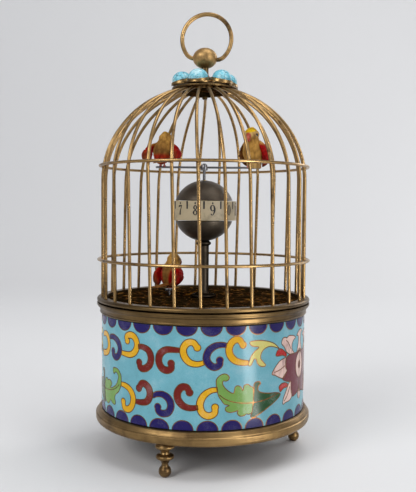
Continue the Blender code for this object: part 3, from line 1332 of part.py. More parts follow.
def make_drive_arm(shop, perch):
    """The slotted arm on the perch spindle that turns the floor bird's crank."""
    low = FRONT_TOP + GAP
    high = low + DRIVE_ARM_T
    direction = bearing(MIDDLE, FLOOR_BIRD_AT)
    pin_out = FLOOR_BIRD_AT.length - CRANK_LENGTH
    slot_half = CRANK_PIN_R + PIN_PLAY
    arm_end = Vector(polar(pin_out + 3.0 * slot_half, direction))
    slot_start = Vector(polar(pin_out - slot_half, direction))
    slot_end = Vector(polar(pin_out + 4.0 * slot_half, direction))
    shapes = [
        rod(LEVER_HUB_R, low, high + DRIVE_ARM_T),
        bar(MIDDLE, arm_end, 2.0 * (slot_half + FORK_PRONG), low, high),
    ]
    slot = bar(slot_start, slot_end, 2.0 * slot_half, low - DRIVE_ARM_T, high + DRIVE_ARM_T)
    shop.piece("drive_arm", perch, "steel", shapes, [slot, hole(SPINDLE_R, low, high + DRIVE_ARM_T)])


def make_movement(shop, base, perch):
    make_plates(shop, base)
    make_barrel(shop, shop.axis("barrel_axis", BARREL_AT))
    make_winding(shop, shop.axis("winding_axis", BARREL_AT), shop.axis("click_axis", click_pivot()))
    make_centre(shop, shop.axis("centre_axis", CENTRE_AT))
    make_train_wheel(
        shop, shop.axis("third_axis", THIRD_AT), "third_wheel", THIRD_AT, CENTRE_AT, CENTRE_WHEEL_UP,
        THIRD_LEAVES, GREAT_MODULE, THIRD_TEETH, TRAIN_MODULE, THIRD_WHEEL_UP, FOURTH_AT,
    )
    make_train_wheel(
        shop, shop.axis("fourth_axis", FOURTH_AT), "fourth_wheel", FOURTH_AT, THIRD_AT, THIRD_WHEEL_UP,
        FOURTH_LEAVES, TRAIN_MODULE, FOURTH_TEETH, TRAIN_MODULE, FOURTH_WHEEL_UP, ESCAPE_AT,
    )
    make_escape_wheel(shop, shop.axis("escape_axis", ESCAPE_AT))
    make_lever(shop, perch)
    make_balance(shop, shop.axis("balance_axis", BALANCE_AT))
    make_hairspring(shop, base)
    make_regulator(shop, shop.axis("regulator_axis", BALANCE_AT))
    make_motion_wheel(shop, shop.axis("motion_axis", MOTION_AT))
    make_drive_arm(shop, perch)


def main():
    for old in list(bpy.data.objects):
        bpy.data.objects.remove(old, do_unlink=True)
    shop = Workshop()

    base = shop.axis("base_axis")
    make_foot_rim(shop, base)
    for number in range(FOOT_COUNT):
        make_foot(shop, base, f"foot_{number + 1}", FIRST_FOOT_DEG + 360.0 / FOOT_COUNT * number)
    make_base_plate(shop, base)
    make_drum_shell(shop, base)
    make_top_rim(shop, base)
    make_cage_floor(shop, base)
    make_column(shop, base)

    cage = shop.axis("cage_axis")
    make_cage_ring(shop, cage)
    make_hoop(shop, cage, "lower_hoop", LOWER_HOOP_Z, LOWER_HOOP_WIDTH)
    make_hoop(shop, cage, "upper_hoop", UPPER_HOOP_Z, UPPER_HOOP_WIDTH)
    make_cage_bars(shop, cage)
    make_crown(shop, cage)
    make_stones(shop, cage)
    make_finial(shop, cage)
    make_handle(shop, shop.axis("handle_axis", height=PIN_Z, turn_deg=HANDLE_TURN_DEG))

    make_globe(shop, base, shop.axis("hour_axis"))
    perch = shop.axis("perch_axis")
    make_perch(shop, perch)
    make_floor_bird(shop, shop.axis("floor_bird_axis", FLOOR_BIRD_AT))
    make_movement(shop, base, perch)


main()
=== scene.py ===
"""Birdcage clock: gives the frame its turned brass, cloisonne enamel, wires, birds and stones.

The frame is in metres, +Z up, and the front of the clock faces -Y. Shapes are drawn in millimetres, and show() makes
them metres.
"""

import math
from types import SimpleNamespace

import bmesh
import bpy
from bpy.props import FloatProperty, FloatVectorProperty, IntProperty, PointerProperty
from mathutils import Matrix, Vector
from mathutils import noise as hills


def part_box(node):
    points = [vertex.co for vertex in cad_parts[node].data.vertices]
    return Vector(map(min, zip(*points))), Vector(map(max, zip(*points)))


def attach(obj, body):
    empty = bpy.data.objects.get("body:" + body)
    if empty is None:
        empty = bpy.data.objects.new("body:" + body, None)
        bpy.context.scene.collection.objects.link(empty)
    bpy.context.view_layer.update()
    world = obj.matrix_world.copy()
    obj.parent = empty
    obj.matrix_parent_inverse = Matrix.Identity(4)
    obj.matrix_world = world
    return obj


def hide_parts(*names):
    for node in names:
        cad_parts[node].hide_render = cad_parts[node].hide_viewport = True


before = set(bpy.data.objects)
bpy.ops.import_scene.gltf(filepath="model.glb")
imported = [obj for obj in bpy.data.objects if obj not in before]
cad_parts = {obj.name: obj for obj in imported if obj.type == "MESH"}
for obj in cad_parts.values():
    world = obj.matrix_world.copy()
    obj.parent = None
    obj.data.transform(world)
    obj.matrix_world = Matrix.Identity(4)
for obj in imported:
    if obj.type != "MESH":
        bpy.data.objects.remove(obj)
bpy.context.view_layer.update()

bl_info = {
    "name": "Birdcage Clock",
    "version": (1, 0, 0),
    "blender": (4, 5, 0),
    "location": "View3D > Sidebar > Birdcage Clock",
    "description": "Turned brass, enamel, wires, birds and stones of a birdcage clock",
    "category": "Add Mesh",
}

MM = 0.001
SAME_POINT = 1e-4


def ink(red, green, blue):
    """A colour as a painter reads it, 0 to 255, made linear."""
    channels = (red / 255.0, green / 255.0, blue / 255.0)
    return tuple(c / 12.92 if c <= 0.04045 else ((c + 0.055) / 1.055) ** 2.4 for c in channels)


def size(name, description, millimetres):
    return FloatProperty(name=name, description=description, default=millimetres * MM, unit="LENGTH", precision=4)


def angle(name, description, degrees):
    return FloatProperty(name=name, description=description, default=math.radians(degrees), unit="ROTATION")


def colour(name, description, default):
    return FloatVectorProperty(name=name, description=description, default=default, subtype="COLOR", min=0.0, max=1.0)


def low(node):
    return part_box(node)[0].z / MM


def high(node):
    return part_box(node)[1].z / MM


def reach(node):
    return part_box(node)[1].x / MM


class ClockSizes(bpy.types.PropertyGroup):
    """Sizes of what is dressed."""

    wall_r: size("Wall radius", "Outside radius of the enamelled wall", reach("drum_shell"))
    wall_t: size("Wall", "Thickness of the enamelled wall", 0.8)
    cloison_width: size("Cloison width", "Width of the gilt wires between the enamels", 0.3)
    cloison_rise: size("Cloison rise", "Height of the gilt wires above the ground enamel", 0.07)
    wire_r: size("Cage wire radius", "Radius of each cage wire", 0.6)
    wire_circle_r: size("Wire circle", "Radius of the circle that the wires stand on", 38.4)
    wire_end_r: size("Wire end circle", "Radius at which the wires end under the crown", 8.6)
    dome_rise: size("Dome rise", "Height of the dome above the straight wires", 35.3)
    dome_start: size("Dome start", "Height at which the wires start to bend", 102.5)
    wire_twist: angle("Wire twist", "Turn of a wire's upper end from its foot", -7.5)
    first_wire: angle("First wire", "Turn of the first wire from the front", -1.2)
    crown_slope: FloatProperty(name="Crown slope", description="Fall of the crown per metre outwards", default=0.2679)
    stone_r: size("Stone radius", "Radius of a turquoise", 3.65)
    stone_height: size("Stone height", "Height of a turquoise", 3.9)
    stone_circle_r: size("Stone circle", "Radius of the circle of turquoises", 8.8)
    handle_r: size("Carrying ring radius", "Radius of the carrying ring, to the middle of its wire", 9.4)
    handle_lean: angle("Carrying ring lean", "Lean of the carrying ring to the right, as it was bent", 4.5)
    handle_wire_r: size("Carrying ring wire", "Radius of the carrying ring's wire", 0.8)
    globe_r: size("Globe radius", "Outside radius of the globe", 11.6)
    globe_z: size("Globe height", "Height of the middle of the globe", 91.1)
    band_r: size("Hour band radius", "Outside radius of the hour band", 12.4)
    numeral_height: size("Numeral height", "Height of the hour numerals", 3.9)
    wire_count: IntProperty(name="Cage wires", description="Number of cage wires", default=27, min=9)
    scallop_count: IntProperty(name="Scallops", description="Cobalt scallops in each border", default=29, min=3)


class ClockColours(bpy.types.PropertyGroup):
    """Colours of what is dressed."""

    brass: colour("Antique brass", "Rubbed parts of the brass", ink(156, 126, 82))
    patina: colour("Patina", "Brown patina in the hollows of the brass", ink(70, 52, 34))
    dark_brass: colour("Dark brass", "Brown brass of the floor", ink(46, 34, 17))
    fleck: colour("Flecks", "Gold flecks on the floor", ink(190, 150, 76))
    clock_brass: colour("Clock brass", "Brass of the plates and wheels", ink(184, 152, 92))
    steel: colour("Steel", "Steel of the arbors and springs", ink(128, 128, 130))
    gilt: colour("Gilt", "Wires between the enamels", ink(132, 86, 44))
    ground: colour("Ground enamel", "Sky blue ground of the drum", ink(114, 178, 192))
    cobalt: colour("Cobalt enamel", "Scallops and dark scrolls", ink(28, 18, 92))
    yellow: colour("Yellow enamel", "Yellow scrolls", ink(228, 172, 22))
    oxblood: colour("Oxblood enamel", "Red-brown scrolls", ink(114, 26, 16))
    leaf: colour("Leaf enamel", "Light green leaves", ink(120, 164, 80))
    pale_leaf: colour("Pale leaf enamel", "Yellow-green leaves", ink(216, 208, 118))
    pine: colour("Pine enamel", "Dark green leaf tips", ink(30, 78, 40))
    petal: colour("Petal enamel", "Pale petals of the lotus", ink(234, 202, 190))
    mauve: colour("Mauve enamel", "Dark petals of the lotus", ink(114, 46, 58))
    cherry: colour("Cherry enamel", "Small red petals", ink(186, 30, 28))
    turquoise: colour("Turquoise", "Stones on the crown", ink(126, 206, 224))
    matrix: colour("Stone veins", "Dark veins in the turquoise", ink(24, 78, 96))
    gunmetal: colour("Globe", "Grey metal of the globe", ink(94, 84, 72))
    # The ivory is darkened part way with painted shade, as the band stands in the shade inside the cage
    ivory: colour("Hour band", "Ivory enamel of the hour band", ink(184, 168, 136))
    black: colour("Numerals", "Ink of the numerals and eyes", ink(26, 22, 20))
    cream: colour("Cream feathers", "Breast and neck of the birds", ink(206, 156, 76))
    crest: colour("Crest", "Yellow crest", ink(244, 198, 24))
    scarlet: colour("Scarlet feathers", "Wings of the birds", ink(172, 6, 4))
    umber: colour("Brown feathers", "Wing edges and tails", ink(108, 66, 28))
    down: colour("Pale feathers", "Face and belly", ink(224, 190, 128))
    beak: colour("Beak", "Beak and feet", ink(206, 84, 56))
    floor: colour("Studio floor", "Pale floor that the clock stands on", (0.80, 0.80, 0.80))


def measures(context):
    """The sizes, with lengths in millimetres and angles in degrees."""
    group = context.scene.clock_sizes
    factors = {"LENGTH": 1.0 / MM, "ROTATION": math.degrees(1.0)}
    numbers = [prop for prop in group.bl_rna.properties if prop.type in {"FLOAT", "INT"}]
    return SimpleNamespace(**{p.identifier: getattr(group, p.identifier) * factors.get(p.unit, 1) for p in numbers})


# Finishes


class Finish:
    """A material put together from nodes, patterned in the piece's own coordinates."""

    def __init__(self, name):
        self.material = bpy.data.materials.new(name)
        self.material.use_nodes = True
        self.tree = self.material.node_tree
        self.shader = self.tree.nodes["Principled BSDF"]
        self.place = self.node("ShaderNodeTexCoord", "Object", {})

    def put(self, socket, value):
        """Links a socket to another one, or sets its value."""
        if isinstance(value, bpy.types.NodeSocket):
            self.tree.links.new(value, socket)
        elif hasattr(value, "__len__") and len(value) == 3 and len(socket.default_value) == 4:
            socket.default_value = (*value, 1.0)
        else:
            socket.default_value = value

    def set(self, **values):
        """Sets sockets of the shader itself, with _ for the spaces in their names."""
        for name, value in values.items():
            self.put(self.shader.inputs[name.replace("_", " ").title().replace("Ior", "IOR")], value)

    def node(self, kind, output, inputs, **settings):
        """One output of a new node, whose inputs are linked or set."""
        made = self.tree.nodes.new(kind)
        for setting, value in settings.items():
            setattr(made, setting, value)
        for socket, value in inputs.items():
            self.put(made.inputs[socket], value)
        return made.outputs[output]

    def stretched(self, scale):
        return self.node("ShaderNodeMapping", "Vector", {"Vector": self.place, "Scale": scale})

    def grain(self, per_metre, detail=4.0, rough=0.55, stretch=None, warp=0.0):
        place = self.stretched(stretch) if stretch else self.place
        inputs = {"Vector": place, "Scale": per_metre, "Detail": detail, "Roughness": rough, "Distortion": warp}
        return self.node("ShaderNodeTexNoise", "Fac", inputs)

    def cells(self, per_metre, feature="F1", place=None):
        inputs = {"Vector": place or self.place, "Scale": per_metre}
        return self.node("ShaderNodeTexVoronoi", "Distance", inputs, feature=feature)

    def ramp(self, value, *stops):
        """Turns a value into colours, or greys where a stop gives a number."""
        made = self.tree.nodes.new("ShaderNodeValToRGB")
        self.put(made.inputs["Fac"], value)
        points = made.color_ramp.elements
        while len(points) < len(stops):
            points.new(1.0)
        for point, (position, tone) in zip(points, stops):
            point.position = position
            point.color = (*tone, 1.0) if hasattr(tone, "__len__") else (tone, tone, tone, 1.0)
        return made.outputs["Color"]

    def mixed(self, share, first, second, blend="MIX"):
        return self.node("ShaderNodeMix", 2, {0: share, 6: first, 7: second}, data_type="RGBA", blend_type=blend)

    def sum(self, first, second, operation="ADD"):
        return self.node("ShaderNodeMath", "Value", {0: first, 1: second}, operation=operation)

    def times(self, value, factor):
        return self.sum(value, factor, "MULTIPLY")

    def weighed(self, share, first, second):
        """This share of the first value, and the rest of the second."""
        return self.sum(self.times(first, share), self.times(second, 1.0 - share))

    def relief(self, height, depth, strength=0.5):
        """Bumps of a depth in millimetres."""
        inputs = {"Strength": strength, "Distance": depth * MM, "Height": height}
        self.set(normal=self.node("ShaderNodeBump", "Normal", inputs))


def shade(tone, by):
    return tuple(min(1.0, channel * by) for channel in tone)


# Each of these returns a function that lays one finish on a new material


def rubbed(brass, brass_by, patina, patina_by, gloss, dark_edges=False):
    """Brass that has gone brown in patches and is rubbed bright in others. The given numbers scale its tones, so
    lighter copies carry painted light and darker copies carry painted shade.
    """

    def lay(made, tones):
        bright = shade(getattr(tones, brass), brass_by)
        dark = shade(getattr(tones, patina), patina_by)
        specks = made.grain(900.0, 3.0, 0.7)
        worn = made.weighed(0.72, made.grain(90.0, 5.0, 0.6), specks)
        tone = made.ramp(worn, (0.33, dark), (0.46, shade(bright, 0.78)), (0.64, shade(bright, 1.1)))
        made.set(base_color=tone, metallic=1.0, roughness=made.ramp(worn, (0.35, gloss + 0.18), (0.65, gloss)))
        made.relief(made.sum(specks, made.grain(2600.0, 2.0)), 0.03)
        if dark_edges:
            made.set(specular_tint=bright)

    return lay


def brushed(light_and_shade):
    """Brass brushed round the drum. One number scales its tone, so the same brass is laid as a lighter copy with
    painted light and as a darker copy with painted shade.
    """

    def lay(made, tones):
        lines = made.grain(2200.0, 3.0, 0.7, (0.05, 0.05, 1.0))
        worn = made.weighed(0.75, made.grain(70.0, 5.0, 0.65), lines)
        brass = [shade(tones.brass, share * light_and_shade) for share in (0.6, 0.9)]
        tone = made.ramp(worn, (0.34, shade(tones.patina, light_and_shade)), (0.5, brass[0]), (0.68, brass[1]))
        made.set(base_color=tone, metallic=1.0, roughness=made.ramp(worn, (0.35, 0.46), (0.65, 0.3)))
        made.relief(lines, 0.02, 0.6)

    return lay


def one_grain(tone_name, grain, shares, rough, depth, metallic=0.0):
    """A tone that is darker and rougher in the hollows of one grain."""

    def lay(made, tones):
        worn = made.grain(*grain)
        tone = made.ramp(worn, *[(spot, shade(getattr(tones, tone_name), share)) for spot, share in shares])
        made.set(base_color=tone, metallic=metallic, roughness=made.ramp(worn, *rough))
        made.relief(worn, depth)

    return lay


def enamel(tone_name, mottle=0.12):
    """Fired enamel: cloudy, with fine grains and a few pinholes under a polished face."""

    def lay(made, tones):
        tone = getattr(tones, tone_name)
        pale = tuple(c + (1.0 - c) * mottle for c in tone)
        clouds, grains = made.grain(140.0, 5.0, 0.6), made.grain(2600.0, 3.0, 0.75)
        mottled = made.weighed(0.6, clouds, grains)
        body = made.ramp(mottled, (0.35, shade(tone, 1.0 - mottle)), (0.5, tone), (0.66, pale))
        pinholes = made.ramp(made.cells(760.0), (0.045, 1.0), (0.075, 0.0))
        made.set(base_color=made.mixed(pinholes, body, shade(tone, 0.25)))
        made.set(roughness=made.ramp(grains, (0.3, 0.24), (0.7, 0.13)), specular_ior_level=0.2)
        made.relief(made.sum(clouds, made.times(pinholes, 0.4), "SUBTRACT"), 0.05)

    return lay


# These lay a finish themselves


def rubbed_dark(made, tones, worn):
    """Brown brass, nearly black in the hollows, with gold left on the high spots."""
    dark, brown = shade(tones.dark_brass, 0.4), shade(tones.patina, 0.85)
    tone = made.ramp(worn, (0.38, dark), (0.52, tones.dark_brass), (0.62, brown), (0.72, tones.fleck))
    made.set(base_color=tone, metallic=made.ramp(worn, (0.5, 0.0), (0.62, 1.0)))
    made.set(roughness=made.ramp(worn, (0.4, 0.7), (0.7, 0.34)), specular_ior_level=0.0, specular_tint=tones.fleck)


def dark_brass(made, tones):
    clouds = made.grain(260.0, 6.0, 0.7, warp=1.2)
    rubbed_dark(made, tones, clouds)
    made.relief(clouds, 0.25, 0.7)


def floor_brass(made, tones):
    """The same brass, rubbed where the stamped leaves of the floor stand highest."""
    top = high("cage_floor")
    height = made.node("ShaderNodeSeparateXYZ", "Z", {0: made.place})
    reaches = {"Value": height, "From Min": (top - 0.1) * MM, "From Max": (top + 0.16) * MM}
    clouds = made.grain(420.0, 5.0, 0.7)
    rubbed_dark(made, tones, made.weighed(0.34, made.node("ShaderNodeMapRange", 0, reaches), clouds))
    made.relief(clouds, 0.1, 0.6)


def petal_enamel(made, tones):
    """Pale enamel that runs to rose in soft streaks."""
    streaks = made.grain(260.0, 4.0, 0.55, (1.0, 1.0, 0.35), 0.6)
    grains = made.grain(2600.0, 3.0, 0.75)
    rose = tuple(0.55 * a + 0.45 * b for a, b in zip(tones.petal, tones.mauve))
    tone = made.ramp(streaks, (0.34, rose), (0.47, tones.petal), (0.72, shade(tones.petal, 1.06)))
    made.set(base_color=tone, roughness=made.ramp(grains, (0.3, 0.24), (0.7, 0.13)), specular_ior_level=0.2)
    made.relief(streaks, 0.04)


def turquoise(made, tones):
    """Sky-blue stone with dark veins, and paler clouds that are partly its own mottle and partly painted highlights."""
    wander = made.node("ShaderNodeTexNoise", "Color", {"Vector": made.place, "Scale": 420.0})
    shift = made.node("ShaderNodeVectorMath", 0, {0: wander, "Scale": 1.6 * MM}, operation="SCALE")
    bent = made.node("ShaderNodeVectorMath", 0, {0: made.place, 1: shift}, operation="ADD")
    veins = made.ramp(made.cells(520.0, "DISTANCE_TO_EDGE", bent), (0.0, 1.0), (0.085, 0.0))
    patches = made.ramp(made.grain(330.0, 5.0, 0.7), (0.4, 0.0), (0.58, 1.0))
    clouds = made.grain(300.0, 4.0, 0.6)
    # The pale tone of the clouds is partly painted highlight
    dark, pale = shade(tones.turquoise, 0.72), ink(198, 236, 242)
    body = made.ramp(clouds, (0.34, dark), (0.48, tones.turquoise), (0.64, pale))
    specks = made.ramp(made.grain(1100.0, 3.0, 0.7), (0.62, 0.0), (0.72, 0.8))
    marks = made.sum(made.times(veins, patches), specks, "MAXIMUM")
    made.set(base_color=made.mixed(marks, body, tones.matrix))
    made.set(roughness=made.ramp(clouds, (0.3, 0.3), (0.7, 0.18)), specular_ior_level=0.3)
    made.relief(made.sum(clouds, made.times(veins, 0.3), "SUBTRACT"), 0.08)


def globe_metal(made, tones):
    clouds, specks = made.grain(170.0, 5.0, 0.6), made.grain(1500.0, 3.0, 0.7)
    made.set(base_color=made.ramp(clouds, (0.34, shade(tones.gunmetal, 0.6)), (0.66, tones.gunmetal)))
    made.set(metallic=0.7, roughness=made.ramp(specks, (0.3, 0.48), (0.7, 0.36)), specular_ior_level=0.25)
    made.relief(made.sum(clouds, specks), 0.03)


# The ivory tone carries painted shade; the stains and specks vary at random
def hour_ivory(made, tones):
    stains, specks = made.grain(210.0, 6.0, 0.7), made.grain(1900.0, 3.0, 0.7)
    tone = made.ramp(stains, (0.3, shade(tones.ivory, 0.62)), (0.46, tones.ivory), (0.7, shade(tones.ivory, 1.08)))
    made.set(base_color=tone, roughness=made.ramp(specks, (0.3, 0.5), (0.7, 0.3)))
    made.relief(specks, 0.02)


def numeral_ink(made, tones):
    wear = made.grain(1600.0, 4.0, 0.7)
    made.set(base_color=made.ramp(wear, (0.32, ink(70, 58, 46)), (0.4, tones.black)), roughness=0.55)
    made.relief(wear, 0.01)


def eye_bead(made, tones):
    shine = made.grain(2000.0, 2.0)
    made.set(base_color=made.ramp(shine, (0.3, tones.black), (0.7, shade(tones.black, 1.8))), roughness=0.12)
    made.relief(shine, 0.005, 0.3)


def feathers(made, tones):
    """Rows of feathers and worn spots over the colours that are painted on the bird itself."""
    paint = made.node("ShaderNodeVertexColor", "Color", {}, layer_name="plumage")
    rows = made.cells(640.0, "F1", made.stretched((1.0, 1.0, 0.62)))
    streaks = made.grain(1300.0, 4.0, 0.65, (1.0, 1.0, 0.35))
    spots = made.grain(420.0, 5.0, 0.6)
    edged = made.mixed(made.ramp(rows, (0.42, 0.0), (0.8, 0.5)), paint, tones.umber, "MULTIPLY")
    dulled = made.mixed(made.ramp(streaks, (0.35, 0.34), (0.6, 0.0)), edged, tones.umber, "MULTIPLY")
    made.set(base_color=made.mixed(made.ramp(spots, (0.3, 0.25), (0.5, 0.0)), dulled, tones.umber))
    made.set(roughness=made.ramp(streaks, (0.3, 0.75), (0.7, 0.5)), specular_ior_level=0.08)
    made.relief(made.sum(streaks, made.times(rows, 0.8), "SUBTRACT"), 0.12, 0.6)


def studio_paper(made, tones):
    tone = made.ramp(made.grain(900.0, 3.0, 0.6), (0.3, shade(tones.floor, 0.985)), (0.7, tones.floor))
    made.set(base_color=tone, roughness=0.85, specular_ior_level=0.0)


ALONG_X, ACROSS_X = (0.06, 1.0, 1.0), (1.0, 0.04, 0.04)
FINISHES = {
    "Antique brass": rubbed("brass", 1.0, "patina", 1.0, 0.26),
    # The finial ball: rubbed brass made lighter, which is painted light
    "Bright brass": rubbed("brass", 1.7, "brass", 0.62, 0.36),
    # The wires, hoops, comb ring and carrying ring: rubbed brass made lighter, which is painted light
    "Wire brass": rubbed("brass", 1.25, "patina", 1.25, 0.22),
    # The column: gunmetal made darker, partly its own dark metal and partly painted shade
    "Column bronze": rubbed("gunmetal", 0.5, "gunmetal", 0.2, 0.34, dark_edges=True),
    # The feet and stepped ring: brushed brass made lighter, which is painted light
    "Foot brass": brushed(1.25),
    # The top rim, cage lip, crown and finial neck: brushed brass made darker, partly patina and partly painted shade
    "Brown brass": brushed(0.62),
    "Dark brass": dark_brass,
    "Floor brass": floor_brass,
    "Clock brass": one_grain(
        "clock_brass", (1500.0, 3.0, 0.6, ACROSS_X), ((0.3, 0.72), (0.7, 1.0)), ((0.3, 0.4), (0.7, 0.25)), 0.01, 1.0
    ),
    "Steel parts": one_grain(
        "steel", (1800.0, 3.0, 0.6, ALONG_X), ((0.3, 0.7), (0.7, 1.0)), ((0.3, 0.36), (0.7, 0.22)), 0.01, 1.0
    ),
    "Gilt cloisons": one_grain(
        "gilt", (500.0, 4.0, 0.6), ((0.36, 0.35), (0.62, 1.0)), ((0.4, 0.45), (0.7, 0.26)), 0.02, 0.85
    ),
    "Sky enamel": enamel("ground", 0.14),
    "Cobalt enamel": enamel("cobalt", 0.06),
    "Yellow enamel": enamel("yellow"),
    "Oxblood enamel": enamel("oxblood", 0.1),
    "Leaf enamel": enamel("leaf"),
    "Pale leaf enamel": enamel("pale_leaf"),
    "Pine enamel": enamel("pine", 0.15),
    "Petal enamel": petal_enamel,
    "Mauve enamel": enamel("mauve", 0.08),
    "Cherry enamel": enamel("cherry", 0.2),
    "Turquoise stone": turquoise,
    "Globe gunmetal": globe_metal,
    "Hour ivory": hour_ivory,
    "Numeral ink": numeral_ink,
    "Feathers": feathers,
    "Horn": one_grain("beak", (900.0, 3.0, 0.6), ((0.34, 0.6), (0.66, 1.0)), ((0.3, 0.5), (0.7, 0.3)), 0.04),
    "Eye bead": eye_bead,
    "Studio paper": studio_paper,
}

# Finish of each slot in the frame
SLOT_FINISHES = {
    "antique_brass": "Antique brass",
    "dark_brass": "Dark brass",
    "clock_brass": "Clock brass",
    "steel": "Steel parts",
    "enamel": "Sky enamel",
    "turquoise": "Turquoise stone",
    "globe_metal": "Globe gunmetal",
    "hour_ivory": "Hour ivory",
    "bird_cream": "Feathers",
}


def finish(name):
    """The finish of this name, made when it is first asked for."""
    if name not in bpy.data.materials:
        FINISHES[name](Finish(name), bpy.context.scene.clock_colours)
    return bpy.data.materials[name]


# Shapes, each returned as a bmesh in millimetres


def spread(start, end, count):
    """Evenly spaced numbers, with both ends among them."""
    return [start + (end - start) * i / (count - 1) for i in range(count)]


def polar(radius, degrees):
    """X and Y at this angle from +X."""
    return radius * math.cos(math.radians(degrees)), radius * math.sin(math.radians(degrees))


def from_front(radius, degrees):
    """X and Y at this angle from the front, counted towards the right."""
    return polar(radius, degrees - 90.0)


def arc(x, y, wide, start, end, points=7, tall=None):
    """Points on an arc of this radius, or of an oval. Angles are in degrees, from outwards towards up."""
    turns = [polar(1.0, degrees) for degrees in spread(start, end, points)]
    return [(x + wide * ahead, y + (tall or wide) * up) for ahead, up in turns]


def circle(points, radius=1.0):
    return [polar(radius, 360.0 * i / points) for i in range(points)]


def headings(line, closed=False):
    """The direction of a line at each of its points."""
    count = len(line)
    if closed:
        return [(line[(i + 1) % count] - line[i - 1]).normalized() for i in range(count)]
    return [(line[min(i + 1, count - 1)] - line[max(i - 1, 0)]).normalized() for i in range(count)]


def banks(line, halves, closed=False):
    """The two points at half a width to the left and to the right of each point of a flat line."""
    sides = [Vector((-way.y, way.x)) * half for way, half in zip(headings(line, closed), halves)]
    return [(point + side, point - side) for point, side in zip(line, sides)]


def through(points, closed=False, steps=5):
    """A smooth line through these points."""
    points = [Vector(point) for point in points]
    count = len(points)
    smooth = []
    for i in range(count if closed else count - 1):
        if closed:
            a, b, c, d = (points[(i + k) % count] for k in (-1, 0, 1, 2))
        else:
            b, c = points[i], points[i + 1]
            a = points[i - 1] if i else b + (b - c)
            d = points[i + 2] if i + 2 < count else c + (c - b)
        for step in range(steps):
            t = step / steps
            bend = (2 * a - 5 * b + 4 * c - d) * t * t + (3 * b - a - 3 * c + d) * t**3
            smooth.append(0.5 * (2 * b + (c - a) * t + bend))
    if not closed:
        smooth.append(points[-1])
    return smooth


def eased(profile, by):
    """A closed (radius, height) outline with each corner cut by a small curve."""
    points = [Vector(point) for point in profile]
    rounded = []
    for i, corner in enumerate(points):
        back, ahead = points[i - 1] - corner, points[(i + 1) % len(points)] - corner
        near = min(by, 0.45 * back.length, 0.45 * ahead.length)
        start, end = corner + back.normalized() * near, corner + ahead.normalized() * near
        for share in (0.0, 0.33, 0.67, 1.0):
            one, two = start.lerp(corner, share), corner.lerp(end, share)
            rounded.append(tuple(one.lerp(two, share)))
    return rounded


def turned(profile, steps=96):
    """A turned solid about Z. The profile is (radius, height) points: a closed outline that stays off the axis, or a
    line that starts and ends on it."""
    shape = bmesh.new()
    points = [shape.verts.new((radius, 0.0, height)) for radius, height in profile]
    lines = [shape.edges.new(pair) for pair in zip(points, points[1:])]
    if min(radius for radius, _ in profile) > 0.0:
        lines.append(shape.edges.new((points[-1], points[0])))
    whole = {"cent": (0, 0, 0), "axis": (0, 0, 1), "angle": math.tau, "steps": steps, "use_merge": True}
    bmesh.ops.spin(shape, geom=points + lines, **whole)
    bmesh.ops.remove_doubles(shape, verts=shape.verts, dist=SAME_POINT)
    bmesh.ops.recalc_face_normals(shape, faces=shape.faces)
    return shape


def lofted(rings, capped=True):
    """A solid through rings of points, each ring with as many points as the last, closed into a loop if not capped."""
    shape = bmesh.new()
    loops = [[shape.verts.new(point) for point in ring] for ring in rings]
    count = len(loops[0])
    pairs = list(zip(loops, loops[1:])) + ([] if capped else [(loops[-1], loops[0])])
    for below, above in pairs:
        for i in range(count):
            shape.faces.new((below[i], below[(i + 1) % count], above[(i + 1) % count], above[i]))
    if capped:
        shape.faces.new(loops[0][::-1])
        shape.faces.new(loops[-1])
    bmesh.ops.recalc_face_normals(shape, faces=shape.faces)
    return shape


def tube(path, radii, flat, sides=12):
    """A round bar along a path that lies in one plane, with flat as the plane's normal. It has one radius, or one at
    each point."""
    flat = Vector(flat).normalized()
    rings = []
    for i, (point, way) in enumerate(zip(path, headings(path))):
        side = way.cross(flat)
        radius = radii[i] if hasattr(radii, "__len__") else radii
        rings.append([point + x * side + y * flat for x, y in circle(sides, radius)])
    return lofted(rings)


def joined(shapes):
    """One bmesh that holds them all."""
    whole = bmesh.new()
    for shape in shapes:
        step = bpy.data.meshes.new("step")
        shape.to_mesh(step)
        shape.free()
        whole.from_mesh(step)
        bpy.data.meshes.remove(step)
    return whole


def moved(shape, matrix):
    bmesh.ops.transform(shape, matrix=matrix, verts=shape.verts)
    return shape


def shift(x, y=0.0, z=0.0):
    return Matrix.Translation((x, y, z))


def turn(degrees, axis="Z"):
    return Matrix.Rotation(math.radians(degrees), 4, axis)


def show(name, shape, body, finish_name, stands_for=(), sharp_deg=32.0):
    """Puts a shape in the scene on its body, in the place of the nodes that it stands for."""
    mesh = bpy.data.meshes.new(name)
    shape.to_mesh(mesh)
    shape.free()
    mesh.transform(Matrix.Scale(MM, 4))
    mesh.shade_smooth()
    mesh.set_sharp_from_angle(angle=math.radians(sharp_deg))
    mesh.materials.append(finish(finish_name))
    made = bpy.data.objects.new(name, mesh)
    bpy.context.scene.collection.objects.link(made)
    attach(made, body)
    if stands_for:
        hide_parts(*stands_for)


# Feet and rims


class CLOCK_OT_feet(bpy.types.Operator):
    """Turn the three feet: ball, neck, round collar, and a waist that opens to the head."""

    bl_idname = "clock.feet"
    bl_label = "Feet"

    def execute(self, context):
        for number in (1, 2, 3):
            node = f"foot_{number}"
            top = high(node)
            profile = [
                (0.0, top),
                (2.85, top),
                *arc(2.75, top - 0.95, 0.68, 60, -70, 6),
                (1.8, top - 2.2),
                (1.5, top - 2.9),
                (1.75, top - 3.5),
                *arc(2.35, top - 4.6, 0.8, 62, -62, 8),
                (1.9, top - 5.7),
                (1.4, top - 6.4),
                (1.15, top - 7.0),
                (1.2, top - 7.5),
                *arc(0.0, 2.08, 2.2, 52, -66, 10),
                (0.6, 0.0),
                (0.0, 0.0),
            ]
            middle = sum(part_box(node), Vector()) / (2.0 * MM)
            shape = moved(turned(profile, 40), shift(middle.x, middle.y))
            show(f"turned_foot_{number}", shape, "base", "Foot brass", (node,))
        return {"FINISHED"}


